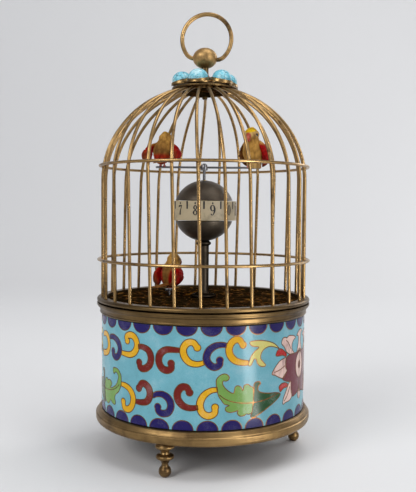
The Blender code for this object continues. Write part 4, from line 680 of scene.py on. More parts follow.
class CLOCK_OT_rims(bpy.types.Operator):
    """Turn the stepped bottom ring and the coved top rim of the drum."""

    bl_idname = "clock.rims"
    bl_label = "Drum rims"

    def execute(self, context):
        wall = measures(context).wall_r
        foot, top, outer = low("foot_rim"), high("foot_rim"), reach("foot_rim")
        floor_r, seat_r, seat_z = 33.5, 37.2, 13.9
        profile = [
            (seat_r, top),
            (wall + 0.3, top),
            (wall + 0.9, top - 0.25),
            (outer - 0.5, top - 1.45),
            (outer - 0.45, top - 1.75),
            (outer - 0.06, top - 2.0),
            (outer, top - 2.25),
            (outer, foot + 1.1),
            (outer - 0.25, foot + 0.5),
            (outer - 0.9, foot + 0.05),
            (outer - 1.4, foot),
            (floor_r, foot),
            (floor_r, seat_z),
            (seat_r, seat_z),
        ]
        show("stepped_ring", turned(eased(profile, 0.12), 160), "base", "Foot brass", ("foot_rim",))

        bottom, top, outer = low("drum_top_rim"), high("drum_top_rim"), reach("drum_top_rim")
        edge = top - 0.8
        opening_r, wall_in = 34.5, 37.9
        profile = [
            (opening_r, top),
            (outer, top),
            (outer, edge),
            (outer - 0.35, edge - 0.15),
            *arc(outer + 0.25, edge - 1.75, 1.35, 118, 172, 6),
            (wall + 0.55, bottom + 0.75),
            (wall + 0.75, bottom + 0.5),
            (wall + 0.4, bottom),
            (wall_in, bottom),
            (wall_in, edge),
            (opening_r, edge),
        ]
        # The coved rim is darker, partly from patina and partly from painted shade
        show("coved_rim", turned(eased(profile, 0.1), 160), "base", "Brown brass", ("drum_top_rim",))
        return {"FINISHED"}


# Enamel


SCROLLS = {
    "Yellow enamel": (
        ((-48, 45.6), (-45, 46.2), (-42.5, 45.5), (-41.2, 43), (-41.8, 40.6), (-44, 39.3), (-47, 38.8)),
        (
            (-32, 41.2), (-29.5, 41), (-27, 41.2), (-25, 42.6), (-24.2, 45), (-25.2, 47.2), (-27.2, 48),
            (-29.2, 47.2), (-28.9, 45.8),
        ),
        ((0.3, 40.3), (-2, 39.8), (-4.5, 40.4), (-6.3, 42.5), (-6.6, 45), (-5.2, 46.9), (-3.2, 47), (-1.9, 45.4)),
        ((15.8, 39.8), (13.5, 40), (11, 40.8), (9.2, 42.8), (8.9, 45.3), (10.2, 47.4), (12.3, 47.8), (13.8, 46)),
        ((-32.2, 30), (-30, 29.9), (-27.6, 28.9), (-26, 26.6), (-26.3, 23.8), (-28, 21.9), (-30.3, 21.9), (-31, 24)),
        ((5, 31.2), (2.5, 30.8), (0.2, 29), (-0.9, 26.2), (-0.1, 23.4), (2, 22.3), (4, 23.2), (4.2, 25.2)),
    ),
    "Cobalt enamel": (
        (
            (-40.2, 45.6), (-38, 46), (-35.8, 45.6), (-33.8, 44.2), (-33.1, 42), (-33.9, 40), (-35.6, 39),
            (-37.3, 39.6), (-37.6, 40.9),
        ),
        (
            (8, 46.1), (6, 46.3), (3.8, 45.8), (1.9, 44.2), (1.2, 41.8), (2.2, 39.7), (4, 38.8),
            (5.6, 39.6), (5.7, 41.1),
        ),
        (
            (-17.6, 28), (-15.8, 28.9), (-13.6, 28.9), (-11.6, 27.6), (-10.8, 25.2), (-11.8, 23), (-13.8, 22.4),
            (-15.3, 23.1), (-15.6, 24.5),
        ),
    ),
    "Oxblood enamel": (
        (
            (-23.6, 44.4), (-21.5, 44.4), (-19.3, 43.4), (-18.3, 41), (-18.9, 38.5), (-20.8, 37.1), (-22.6, 37.2),
            (-23.2, 38.9),
        ),
        (
            (-7.8, 44.3), (-10.2, 44.4), (-12.8, 44.2), (-14.8, 42.6), (-15.3, 40.2), (-14.2, 38), (-12.3, 37.3),
            (-10.8, 38), (-10.8, 39.7),
        ),
        (
            (-24.7, 25.2), (-22.3, 25.2), (-20, 25.8), (-18.8, 27.6), (-18.9, 30), (-20.3, 31.6), (-22, 31.8),
            (-23.3, 30),
        ),
        ((-1.6, 25.2), (-4, 24.9), (-6.5, 25.6), (-8.3, 27.6), (-8.5, 30), (-7.2, 31.8), (-5.4, 31.9), (-4.4, 30.2)),
    ),
}


LOTUS_S = 44.1
# Outlines in the same millimetres, as (finish, place of the line that it is mirrored at, points)
LOTUS = (
    ("Mauve enamel", LOTUS_S, (
        (33.3, 39.4), (36, 40.3), (40.5, 40.3), (42.4, 40.6), (44.1, 40.6), (44.1, 30.2), (44.1, 26), (42.4, 25.6),
        (40, 25), (38, 24.8), (37.3, 26), (36.7, 27.9), (36.7, 30.4), (34.6, 30.8), (32.2, 31.6), (31.4, 32.6),
        (33.9, 34.8), (33.1, 36.2),
    )),
    ("Petal enamel", LOTUS_S, (
        (30.6, 45.1), (31.1, 46.5), (32.5, 46.9), (33.6, 46.5), (35, 47.1), (38.1, 46.8), (40, 45.9), (38.3, 45.1),
        (37.2, 43.7), (37.5, 41.8), (38.9, 40.4), (35.8, 40.4), (33.6, 41.5), (32.2, 43.4), (31.1, 44.3),
    )),
    ("Petal enamel", LOTUS_S, (
        (25.8, 34.8), (27.2, 36.8), (29.4, 38.7), (31.7, 39.4), (33.3, 39.4), (33.1, 36.2), (33.9, 34.8),
        (31.9, 32.6), (29.7, 33), (27.5, 34.1),
    )),
    ("Petal enamel", LOTUS_S, (
        (31.7, 23.2), (31.9, 25.1), (33.3, 27.3), (35.3, 30.1), (36.7, 30.4), (36.7, 27.9), (37.5, 26.2),
        (37.2, 24.6), (35.3, 23.7), (33.3, 23.6),
    )),
    ("Petal enamel", None, (
        (41.2, 46.4), (42.6, 46.2), (43.0, 44.5), (42.4, 42.4), (41.5, 40.2), (44.1, 40.8), (46.7, 40.2),
        (45.8, 42.4), (45.2, 44.5), (45.8, 46.9), (47.4, 47.6), (44.1, 48.2),
    )),
    ("Cherry enamel", LOTUS_S, (
        (27.6, 41.1), (28.3, 42.6), (30, 43.2), (31.9, 42.3), (33.6, 40.9), (33.1, 40), (31.1, 40.7), (28.9, 40.7),
    )),
    ("Cherry enamel", LOTUS_S, (
        (29.4, 29.8), (30.8, 30.7), (32.8, 30.7), (34.4, 30), (33.9, 29), (31.9, 28.9), (30.3, 27.9), (29.7, 28.7),
    )),
)
LOTUS_OVALS = (
    ("Petal enamel", LOTUS_S, 35.4, 3.6, 4.7),
    ("Oxblood enamel", LOTUS_S, 35.4, 1.1, 1.5),
    ("Petal enamel", LOTUS_S, 24.7, 1.5, 1.8),
)
LEAVES = (
    ("Pale leaf enamel", -16.7, (
        (15.8, 39), (16.4, 40.7), (17.2, 42.3), (18.6, 43.7), (20, 44.8), (17.2, 45.4), (16.4, 46.8), (19.2, 47.1),
        (22.2, 46.8), (24.7, 46.2), (27.2, 45.1), (29.4, 43.2), (27.5, 44), (24.7, 44.6), (22.5, 44.1), (21.1, 42.9),
        (20.7, 40.9), (21.7, 39.6), (22.9, 38.4), (22.2, 37.9), (20.6, 38.2), (19.4, 39.3), (18.9, 40.7),
        (18.1, 40.9), (17.5, 39.8), (16.7, 38.7),
    )),
    ("Pine enamel", -14.0, (
        (18.1, 30.7), (18.1, 32.1), (18.9, 32.9), (20.3, 32.9), (20.8, 32.1), (20, 31.5), (19.7, 30.1), (20.6, 29.3),
        (22.5, 28.7), (25.3, 28.3), (28.1, 28), (30.3, 27.1), (28.1, 25.4), (24.7, 23.7), (21.4, 22.1), (18.3, 20.8),
        (16.9, 21.2), (17.5, 22.9), (17.9, 26.2),
    )),
    ("Leaf enamel", None, (
        (-37.6, 34.8), (-36.2, 35.1), (-34.6, 35), (-33.2, 34.1), (-32.3, 32.6), (-32.3, 30.1), (-32.9, 28.4),
        (-34, 26.8), (-35.7, 25.7), (-36.5, 24.3), (-35.9, 22.9), (-36.2, 21.9), (-37.3, 21.8), (-38.4, 22.1),
        (-39.6, 22.9), (-40.4, 22.1), (-41.5, 21.2), (-42.9, 21.2), (-44.3, 21.8), (-45.1, 22.9), (-45.7, 25.1),
        (-45.5, 27.9), (-44.8, 29.6), (-43.4, 30.2), (-42.1, 29.6), (-41.2, 30), (-39.6, 29.8), (-38.7, 29),
        (-39.3, 27.9), (-40.1, 27.3), (-38.7, 27.4), (-36.5, 28.4), (-35.1, 29.6), (-34.4, 30.9), (-34, 32.3),
        (-34.8, 33.4), (-35.9, 33.6), (-36.8, 32.9), (-37.6, 33.4),
    )),
    ("Leaf enamel", None, (
        (4.9, 30.7), (4.6, 32.6), (4.6, 34.6), (5.7, 35.9), (7.4, 36.5), (8.8, 35.7), (8.9, 34.6), (7.9, 34),
        (6.9, 34.1), (6.8, 32.9), (7.7, 31.5), (9.3, 30.2), (10.6, 29.8), (11.1, 31.8), (12.2, 32.2), (13.3, 31.5),
        (13.9, 30.4), (14.4, 32.1), (15.8, 32.4), (16.9, 31.5), (17.9, 30.7), (17.9, 26.2), (17.5, 22.9),
        (16.4, 22.1), (15.3, 22.3), (14.4, 21.8), (12.8, 21.8), (11.9, 22.9), (12.2, 23.7), (10.8, 23.4), (9.1, 23.3),
        (7.8, 24), (7.9, 25.1), (9.1, 25.7), (7.4, 26.2), (6.3, 27.6), (5.4, 29),
    )),
)
VEIN_S = -14.0
VEIN = ((5.5, 29.5), (8, 27.7), (12, 26.4), (18, 25.9), (24, 26.5), (29.5, 27.8))
SPINES = ((27.0, 35.2, 5.6, 1.6), (32.4, 24.2, 3.6, 4.6), (33.2, 45.8, 3.2, -3.6))  # s, z, and how far they reach
# Scallops at the two edges of the wall: node's edge, depth, place of the first, and the way that they point
SCALLOPS = ((high, 3.1, -5.5, -1.0), (low, 3.3, -6.7, 1.0))
SCALLOP_HALF = 3.6


def scroll_outline(points):
    """A C-scroll: thin where it starts, full round the bend, and a round knob at the end."""
    line = through(points)
    shares = spread(0.0, 1.0, len(line))
    halves = [0.78 + 0.40 * min(1.0, along / 0.35) - 0.18 * max(0.0, (along - 0.7) / 0.3) for along in shares]
    sides = banks(line, halves)
    way = headings(line)[-1]
    end_deg = math.degrees(math.atan2(way.y, way.x))
    knob = arc(*line[-1], 1.22, end_deg + 110.0, end_deg - 110.0, 12)
    return [left for left, _ in sides[:-1]] + knob + [right for _, right in sides[-2::-1]]


def oval(s, z, half_width, half_height, points=28):
    return arc(s, z, half_width, 0.0, 360.0 - 360.0 / points, points, half_height)


def mirrored(outline, axis):
    return [Vector((2.0 * axis - s, z)) for s, z in reversed(outline)]


def both_sides(shapes):
    """Smooth (finish, outline) pairs, each with its mirror image where there is a line to mirror it at."""
    found = []
    for name, axis, points in shapes:
        outline = through(points, True, 3)
        found += [(name, outline)] + ([(name, mirrored(outline, axis))] if axis else [])
    return found


def wall_pattern(sizes):
    """Every enamel field as (finish, outline), every open gilt line, and every scallop, once round the drum."""
    fields = both_sides(LOTUS) + [(name, oval(*place)) for name, *place in LOTUS_OVALS] + both_sides(LEAVES)
    for name, scrolls in SCROLLS.items():
        fields += [(name, scroll_outline(points)) for points in scrolls]
    vein = through(VEIN)
    lines = [vein, mirrored(vein, VEIN_S)]
    for s, z, reach_s, reach_z in SPINES:
        spine = through(((s, z), (s + 0.5 * reach_s, z + 0.35 * reach_z), (s + reach_s, z + reach_z)))
        lines += [spine, mirrored(spine, LOTUS_S)]
    offsets = (0.0, math.pi * sizes.wall_r)  # the pattern is drawn twice round the wall
    fields = [(name, [(s + offset, z) for s, z in outline]) for name, outline in fields for offset in offsets]
    lines = [[(s + offset, z) for s, z in line] for line in lines for offset in offsets]

    pitch = math.tau * sizes.wall_r / sizes.scallop_count
    bows = []
    for i in range(sizes.scallop_count):
        for edge, depth, first, sign in SCALLOPS:
            bows.append(arc(first + i * pitch, edge("drum_shell"), SCALLOP_HALF, 0.0, 180.0, 17, sign * depth))
    return fields, lines, bows


def bent_round(shape, radius):
    """Wraps a flat shape, with X along the wall, Y up and Z out of it, round the drum."""
    for point in shape.verts:
        around = point.co.x / radius
        out = radius + point.co.z
        point.co = Vector((out * math.sin(around), -out * math.cos(around), point.co.y))
    return shape


def field_shape(outline, top, sunk=0.1, strip=1.5):
    """A thin flat plate of enamel, cut into upright strips so that it can bend."""
    shape = bmesh.new()
    face = shape.faces.new([shape.verts.new((s, z, -sunk)) for s, z in outline])
    bmesh.ops.triangulate(shape, faces=[face])
    along = [s for s, _ in outline]
    place = math.floor(min(along) / strip) * strip + strip
    while place < max(along):
        everything = shape.verts[:] + shape.edges[:] + shape.faces[:]
        bmesh.ops.bisect_plane(shape, geom=everything, plane_co=(place, 0, 0), plane_no=(1, 0, 0), dist=SAME_POINT)
        place += strip
    risen = bmesh.ops.extrude_face_region(shape, geom=shape.faces[:])["geom"]
    tops = [item for item in risen if isinstance(item, bmesh.types.BMVert)]
    bmesh.ops.translate(shape, verts=tops, vec=(0.0, 0.0, top + sunk))
    bmesh.ops.recalc_face_normals(shape, faces=shape.faces)
    return shape


def ribbon_shape(line, closed, width, top, sunk=0.1):
    """A gilt wire bent along a line, standing on edge in the enamel."""
    line = [Vector(point) for point in line]
    rings = []
    for spot, (left, right) in zip(line, banks(line, [width / 2.0] * len(line), closed)):
        shoulder = 0.7 * top
        rings.append([(*left, -sunk), (*left, shoulder), (*spot, top), (*right, shoulder), (*right, -sunk)])
    return lofted(rings, capped=not closed)


class CLOCK_OT_drum(bpy.types.Operator):
    """Make the enamelled wall with its cloisonne scrolls, leaves, lotuses and scalloped borders."""

    bl_idname = "clock.drum"
    bl_label = "Enamelled drum"

    def execute(self, context):
        sizes = measures(context)
        bottom, top, radius = low("drum_shell"), high("drum_shell"), sizes.wall_r
        inner = radius - sizes.wall_t
        profile = [(radius, height) for height in spread(top, bottom, 9)] + [(inner, bottom), (inner, top)]
        show("enamelled_wall", turned(profile, 192), "base", "Sky enamel", ("drum_shell",))

        fields, lines, bows = wall_pattern(sizes)
        wire = (sizes.cloison_width, sizes.cloison_rise)
        ribbons = [ribbon_shape(line, False, *wire) for line in lines + bows]
        rise, step = 0.015, 0.00018  # each field stands a little higher than the last, so none share a face
        layers = {"Cobalt enamel": [field_shape(bow, rise) for bow in bows]}
        for number, (name, outline) in enumerate(fields):
            layers.setdefault(name, []).append(field_shape(outline, rise + step * number))
            ribbons.append(ribbon_shape(outline, True, *wire))
        layers["Gilt cloisons"] = ribbons
        for name, shapes in layers.items():
            whole = bent_round(joined(shapes), radius)
            show(name.lower().replace(" ", "_"), whole, "base", name, ())
        return {"FINISHED"}


# Cage


def dome_height(sizes, radius):
    return sizes.dome_start + sizes.dome_rise * math.sqrt(1.0 - (radius / sizes.wire_circle_r) ** 2)


def dome_radius(sizes, height):
    rise = max(height - sizes.dome_start, 0.0) / sizes.dome_rise
    return sizes.wire_circle_r * math.sqrt(1.0 - rise**2)


def wire_line(sizes, foot):
    """One wire's radius, height and twist in degrees at each point, from the ring up and over to the crown."""
    steepest = math.degrees(math.acos(sizes.wire_end_r / sizes.wire_circle_r))
    line = [(sizes.wire_circle_r, foot)]
    line += arc(0.0, sizes.dome_start, sizes.wire_circle_r, 0.0, steepest, 23, sizes.dome_rise)
    lengths = [0.0]
    for before, after in zip(line, line[1:]):
        lengths.append(lengths[-1] + math.dist(before, after))
    return [(*spot, sizes.wire_twist * (along / lengths[-1]) ** 2) for spot, along in zip(line, lengths)]


class CLOCK_OT_cage(bpy.types.Operator):
    """Bend the cage wires and turn the ring and hoops that hold them."""

    bl_idname = "clock.cage"
    bl_label = "Cage"

    def execute(self, context):
        sizes = measures(context)
        bottom, top, outer = low("cage_ring"), high("cage_ring"), reach("cage_ring")
        line = wire_line(sizes, top - 0.5)
        wires = []
        for i in range(sizes.wire_count):
            degrees = sizes.first_wire + 360.0 / sizes.wire_count * i
            path = [Vector((*from_front(radius, degrees + twist), height)) for radius, height, twist in line]
            across = degrees + sizes.wire_twist / 2.0 + 90.0
            wires.append(tube(path, sizes.wire_r, (*from_front(1.0, across), 0.0)))
        nodes = sorted(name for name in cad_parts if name.startswith("cage_bars"))
        show("cage_wires", joined(wires), "cage", "Wire brass", nodes)

        inner_r, outer_r, thick = 7.4, 9.4, 1.0
        comb_z = dome_height(sizes, outer_r) + sizes.wire_r
        comb = [(inner_r, comb_z), (outer_r, comb_z), (outer_r, comb_z - thick), (inner_r, comb_z - thick)]
        show("comb_ring", turned(eased(comb, 0.12), 72), "cage", "Wire brass")

        half, inner_r = (top - bottom) / 2.0, 36.9
        profile = [(inner_r, top - 0.1), (inner_r + 0.5, top), (inner_r + 1.0, top)]
        profile += arc(outer - half, bottom + half, half, 90, -60, 10)
        profile += [(outer - half, bottom), (inner_r, bottom)]
        # The lip is darker, partly from patina and partly from painted shade
        show("cage_lip", turned(profile, 160), "cage", "Brown brass", ("cage_ring",))

        for name in ("lower_hoop", "upper_hoop"):
            height, outer = (low(name) + high(name)) / 2.0, reach(name)
            inner = dome_radius(sizes, height) + 0.55 * sizes.wire_r
            half = (high(name) - low(name)) / 2.0
            ring = arc((outer + inner) / 2.0, height, (outer - inner) / 2.0, 0, 330, 12, half)
            show(f"{name}_ring", turned(ring, 160), "cage", "Wire brass", (name,))
        return {"FINISHED"}


# Crown


CROWN_HUB_R = 3.0
STONES = 6
FIRST_STONE_DEG = -106.0


def crown_top(sizes, radius):
    return high("crown_cap") - sizes.crown_slope * (radius - CROWN_HUB_R)


def stone_place(sizes, number):
    """Where a stone's foot stands on the slope of the crown."""
    height = crown_top(sizes, sizes.stone_circle_r) + 0.7
    lean = turn(math.degrees(math.atan(sizes.crown_slope)), "Y")
    return turn(FIRST_STONE_DEG + 360.0 / STONES * number) @ shift(sizes.stone_circle_r, 0.0, height) @ lean


class CLOCK_OT_crown(bpy.types.Operator):
    """Turn the crown cap, cut the scalloped setting, and set its six turquoises."""

    bl_idname = "clock.crown"
    bl_label = "Crown and stones"

    def execute(self, context):
        sizes = measures(context)
        edge, hub, rim = low("crown_cap"), high("crown_cap"), reach("crown_cap")
        hole_r, thick = 1.3, 0.8
        profile = [
            (hole_r, hub),
            (CROWN_HUB_R, hub),
            (6.0, crown_top(sizes, 6.0)),
            (rim - 1.1, crown_top(sizes, rim - 1.1)),
            (rim - 0.75, crown_top(sizes, rim) + 0.22),
            *arc(rim - 0.45, (edge + crown_top(sizes, rim)) / 2.0, 0.45, 80, -80, 6),
            (rim - 0.8, edge + 0.2),
            (CROWN_HUB_R, hub - thick),
            (hole_r, hub - thick),
        ]
        # The crown is darker, partly from patina and partly from painted shade
        show("crown", turned(profile), "cage", "Brown brass", ("crown_cap",))

        inner_r, valley_r, lobe_r, lifted, thick = 4.4, 9.6, 2.55, 0.3, 0.4
        rings = []
        for degrees in range(0, 360, 2):
            lobe = abs(math.cos(math.radians(STONES / 2.0 * (degrees - FIRST_STONE_DEG)))) ** 0.6
            ring = []
            for radius in (inner_r, valley_r + lobe_r * lobe):
                ring.append(Vector((*polar(radius, degrees), crown_top(sizes, radius) + lifted)))
            rings.append(ring + [point + Vector((0.0, 0.0, thick)) for point in reversed(ring)])
        inside, outside, foot = sizes.stone_r + 0.05, sizes.stone_r + 0.5, -0.15
        cup = [(outside + 0.15, foot), (outside + 0.1, 0.1), (outside, 0.25), (outside - 0.06, 0.72)]
        cup += [(inside + 0.1, 0.9), (inside - 0.1, 0.86), (inside, 0.6), (inside, foot)]
        cups = [moved(turned(cup, 48), stone_place(sizes, i)) for i in range(STONES)]
        show("stone_cups", joined([lofted(rings, False), *cups]), "cage", "Antique brass", ("stone_setting",))

        girdle, foot = 0.7, 0.3
        dome = arc(0.0, foot + girdle, sizes.stone_r, 84, 7, 12, sizes.stone_height - girdle)
        profile = [(0.0, foot + sizes.stone_height), *dome]
        profile += [(sizes.stone_r, foot + girdle), (sizes.stone_r, foot), (0.0, foot)]
        for i in range(STONES):
            stone = moved(turned(profile, 48), stone_place(sizes, i))
            for point in stone.verts:
                lump = hills.noise(point.co * 0.26) * 0.09
                out = Vector((point.co.x, point.co.y, 0.0)).normalized()
                point.co += out * lump * 0.4 + Vector((0, 0, lump))
            show(f"turquoise_{i + 1}", stone, "cage", "Turquoise stone", (f"stone_{i + 1}",), 60.0)
        return {"FINISHED"}


class CLOCK_OT_finial(bpy.types.Operator):
    """Turn the finial ball and bend the carrying ring."""

    bl_idname = "clock.finial"
    bl_label = "Finial and carrying ring"

    def execute(self, context):
        sizes = measures(context)
        ball_r, half, neck_r = 4.65, 3.9, 1.6
        bottom, top = low("finial"), high("finial")
        ball_z = top - half
        lowest = math.degrees(math.acos(neck_r / ball_r))
        ball = arc(0.0, ball_z, ball_r, 90.0 - (90.0 + lowest) / 22.0, -lowest, 22, half)
        # The ball's brass is lightened with painted light
        show("finial_ball", turned([(0.0, top), *ball, (0.0, ball[-1][1])], 64), "cage", "Bright brass")
        flange, neck = high("crown_cap") + 0.3, ball_z - half + 0.6
        profile = [
            (0.0, neck),
            (1.45, neck),
            (1.4, flange + 2.2),
            (1.7, flange + 1.6),
            *arc(2.1, flange + 0.75, 0.55, 75, -60, 6),
            (2.2, flange),
            (1.0, flange),
            (1.0, bottom + 0.3),
            (0.7, bottom),
            (0.0, bottom),
        ]
        # The neck is darker with painted shade under the ball
        show("finial_neck", turned(profile, 48), "cage", "Brown brass", ("finial",))

        radius = sizes.handle_r
        pin_z, up = ball_z - 0.3, 7.4  # the pins that the ring turns on, and how far its middle is above them
        corner = math.acos(up / radius)
        opening = math.degrees(corner) + 9.0
        middle = arc(0.0, up, radius, -90.0 - opening, opening - 450.0, 73)
        bend, pin_end = Vector((0.15 - radius * math.sin(corner), 0.0)), Vector((0.2 - ball_r, 0.0))
        line = [(1.6 - ball_r, 0.0)]
        for share in spread(0.0, 1.0, 7)[:-1]:
            line.append(tuple(pin_end.lerp(bend, share).lerp(bend.lerp(Vector(middle[0]), share), share)))
        line += middle + [(-x, z) for x, z in reversed(line)]
        shape = tube([Vector((x, 0.0, pin_z + z)) for x, z in line], sizes.handle_wire_r, (0.0, 1.0, 0.0), 16)
        lean = shift(0.0, 0.0, pin_z) @ turn(sizes.handle_lean, "Y") @ shift(0.0, 0.0, -pin_z)
        show("carrying_ring", moved(shape, turn(-8.0) @ lean), "handle", "Wire brass", ("handle_ring",))
        return {"FINISHED"}


# Floor, column and globe


class CLOCK_OT_cage_floor(bpy.types.Operator):
    """Emboss the cage floor."""

    bl_idname = "clock.cage_floor"
    bl_label = "Cage floor"

    def execute(self, context):
        hills.seed_set(1)  # noise_vector would follow the time of day without it
        bottom, top, outer = low("cage_floor"), high("cage_floor"), reach("cage_floor")
        inner, rings = 2.35, []
        for radius in spread(inner, outer, 97):
            edge = max(0.0, min(1.0, (outer - radius) / 1.2, (radius - inner) / 2.0))
            ring = []
            for x, y in circle(340, radius):
                spot = Vector((x, y, 0.0)) * 0.24
                wander = hills.noise_vector(spot * 0.6) * 0.8
                ridge = max(0.0, 1.0 - abs(hills.noise(spot + wander)) / 0.24)
                ring.append((x, y, top + 0.26 * ridge * edge - 0.1))
            rings.append(ring)
        rings += [[(x, y, bottom) for x, y, _ in ring] for ring in (rings[-1], rings[0])]
        show("embossed_floor", lofted(rings, False), "base", "Floor brass", ("cage_floor",), 50.0)
        return {"FINISHED"}


class CLOCK_OT_globe(bpy.types.Operator):
    """Turn the column and the two halves of the globe."""

    bl_idname = "clock.globe"
    bl_label = "Column and globe"

    def execute(self, context):
        sizes = measures(context)
        radius, middle, near = sizes.globe_r, sizes.globe_z, 3.95
        for name, body, sign, hole_r in (("globe_lower", "base", -1.0, 2.6), ("globe_upper", "hour", 1.0, 1.85)):
            profile = []
            for skin_r, points, way in ((radius, 21, 1), (radius - 0.6, 13, -1)):
                turns = sign * math.degrees(math.asin(near / skin_r)), sign * math.degrees(math.acos(hole_r / skin_r))
                profile += arc(0.0, middle, skin_r, *turns[::way], points)
            show(f"{name}_shell", turned(profile, 80), body, "Globe gunmetal", (name,))

        bottom, top = low("column_tube"), high("column_tube")
        flange, collar = high("cage_floor") + 0.3, middle - radius + 0.3
        bore_r, column_r = 1.55, 2.0
        profile = [
            (bore_r, top),
            (column_r, top),
            (column_r, collar),
            *arc(2.15, collar - 1.15, 0.68, 75, -75, 7),
            (column_r, collar - 2.1),
            (column_r, flange + 2.4),
            (2.3, flange + 1.7),
            (3.1, flange + 1.1),
            (4.4, flange + 0.8),
            *arc(4.6, flange + 0.4, 0.4, 90, -90, 6),
            (column_r, flange),
            (column_r, bottom),
            (bore_r, bottom),
        ]
        # The column's metal is darkened partly with painted shade
        show("column", turned(profile, 48), "base", "Column bronze", ("column_tube",))
        return {"FINISHED"}


DIGIT_TALL = 3.7
DIGIT_PITCH = 1.65
INK_T = 0.03
# Digits as inked strokes: (across, up, half width) in millimetres, for a digit DIGIT_TALL tall
UPRIGHT_SIX = (
    (0.6, 3.1, 0.17), (0.3, 3.55, 0.12), (-0.2, 3.35, 0.13), (-0.62, 2.4, 0.24), (-0.7, 1.3, 0.28), (-0.4, 0.35, 0.18),
    (0.0, 0.1, 0.1), (0.5, 0.4, 0.17), (0.68, 1.1, 0.26), (0.45, 1.85, 0.18), (0.05, 2.1, 0.1), (-0.4, 1.8, 0.12),
)
DIGITS = {
    "0": (
        (
            (-0.72, 1.85, 0.27), (-0.52, 3.1, 0.17), (0.0, 3.6, 0.09), (0.52, 3.1, 0.17), (0.72, 1.85, 0.27),
            (0.52, 0.6, 0.17), (0.0, 0.1, 0.09), (-0.52, 0.6, 0.17), (-0.72, 1.85, 0.27),
        ),
    ),
    "1": (
        ((0.05, 0.1, 0.27), (0.05, 3.6, 0.27)),
        ((-0.55, 2.95, 0.08), (0.0, 3.45, 0.16)),
        ((-0.5, 0.1, 0.1), (0.6, 0.1, 0.1)),
    ),
    "2": (
        (
            (-0.72, 2.75, 0.2), (-0.45, 3.4, 0.14), (0.1, 3.6, 0.13), (0.65, 3.1, 0.25), (0.6, 2.3, 0.25),
            (0.0, 1.3, 0.14), (-0.7, 0.3, 0.1),
        ),
        ((-0.75, 0.2, 0.2), (0.1, 0.25, 0.22), (0.75, 0.35, 0.12), (0.8, 0.9, 0.06)),
    ),
    "3": (
        (
            (-0.65, 2.95, 0.2), (-0.3, 3.5, 0.13), (0.15, 3.58, 0.12), (0.6, 2.95, 0.24), (0.45, 2.2, 0.2),
            (-0.1, 1.95, 0.08),
        ),
        (
            (-0.1, 1.95, 0.08), (0.5, 1.75, 0.2), (0.72, 1.0, 0.27), (0.35, 0.25, 0.18), (-0.2, 0.1, 0.12),
            (-0.65, 0.55, 0.18), (-0.6, 0.85, 0.2),
        ),
    ),
    "4": (
        ((0.3, 3.6, 0.12), (-0.85, 1.1, 0.08)),
        ((-0.85, 1.05, 0.1), (0.85, 1.05, 0.1)),
        ((0.35, 0.1, 0.26), (0.35, 3.6, 0.24)),
        ((-0.1, 0.1, 0.1), (0.8, 0.1, 0.1)),
    ),
    "5": (
        ((-0.5, 3.45, 0.2), (0.6, 3.5, 0.14)),
        ((-0.5, 3.45, 0.08), (-0.58, 2.0, 0.08)),
        (
            (-0.58, 1.95, 0.1), (-0.05, 2.3, 0.13), (0.6, 1.85, 0.25), (0.68, 1.05, 0.27), (0.3, 0.25, 0.18),
            (-0.25, 0.1, 0.12), (-0.65, 0.5, 0.18), (-0.62, 0.8, 0.19),
        ),
    ),
    "6": (UPRIGHT_SIX,),
    "7": (
        ((-0.75, 3.2, 0.24), (0.0, 3.35, 0.22), (0.78, 3.45, 0.1)),
        ((-0.8, 2.7, 0.06), (-0.75, 3.3, 0.1)),
        ((0.76, 3.4, 0.1), (0.25, 2.3, 0.14), (-0.05, 1.2, 0.24), (-0.1, 0.2, 0.27)),
    ),
    "8": (
        (
            (0.0, 1.95, 0.12), (-0.5, 2.7, 0.2), (0.0, 3.58, 0.1), (0.5, 2.7, 0.2), (0.0, 1.95, 0.12),
            (-0.64, 1.0, 0.24), (0.0, 0.1, 0.1), (0.64, 1.0, 0.24), (0.0, 1.95, 0.12),
        ),
    ),
    "9": (tuple((-x, DIGIT_TALL - y, half) for x, y, half in UPRIGHT_SIX),),
}


def inked(points, wide, tall):
    """A brush stroke lying flat, as wide at each point as the point says."""
    line = through([(x * wide, y * tall, half) for x, y, half in points], False, 4)
    rings = []
    for left, right in banks([point.xy for point in line], [1.3 * point.z for point in line]):
        rings.append([(*left, -INK_T), (*left, INK_T), (*right, INK_T), (*right, -INK_T)])
    return lofted(rings)


def numeral(text, height):
    """A numeral in flat ink, in the middle of X, standing on Y 0."""
    tall = height / DIGIT_TALL
    wide = tall if len(text) == 1 else 0.82 * tall
    shapes = []
    for place, digit in enumerate(text):
        aside = shift((place - (len(text) - 1) / 2.0) * DIGIT_PITCH)
        shapes += [moved(inked(points, wide, tall), aside) for points in DIGITS[digit]]
    return joined(shapes)


class CLOCK_OT_hour_band(bpy.types.Operator):
    """Make the ivory hour band and ink its numerals."""

    bl_idname = "clock.hour_band"
    bl_label = "Hour band"

    def execute(self, context):
        sizes = measures(context)
        bottom, top, radius = low("hour_band"), high("hour_band"), sizes.band_r
        lip_r, inner_r, bevel, thick = radius - 2.2, radius - 0.6, 0.1, 0.5
        profile = [
            (radius, top - bevel),
            (radius, bottom + bevel),
            (radius - bevel, bottom),
            (lip_r, bottom),
            (lip_r, bottom + thick),
            (inner_r, bottom + thick),
            (inner_r, top - thick),
            (lip_r, top - thick),
            (lip_r, top),
            (radius - bevel, top),
        ]
        show("ivory_band", turned(profile), "hour", "Hour ivory", ("hour_band",))

        half_step = radius * math.radians(15.0)  # half an hour along the band
        shapes = []
        for hour in range(1, 13):
            along = half_step * (2 * (hour - 9) + 1)
            shapes.append(moved(numeral(str(hour), sizes.numeral_height), shift(along, bottom + 1.9)))
            shapes.append(field_shape(oval(along, bottom + 6.4, 0.3, 0.38, 12), INK_T, INK_T))
            dash = ((0.0, top - 0.15, 0.27), (0.0, top - 3.0, 0.22))
            shapes.append(moved(inked(dash, 1.0, 1.0), shift(along + half_step)))
        figures = bent_round(joined(shapes), radius)
        show("hour_numerals", figures, "hour", "Numeral ink", ())
        return {"FINISHED"}


# Perch and birds


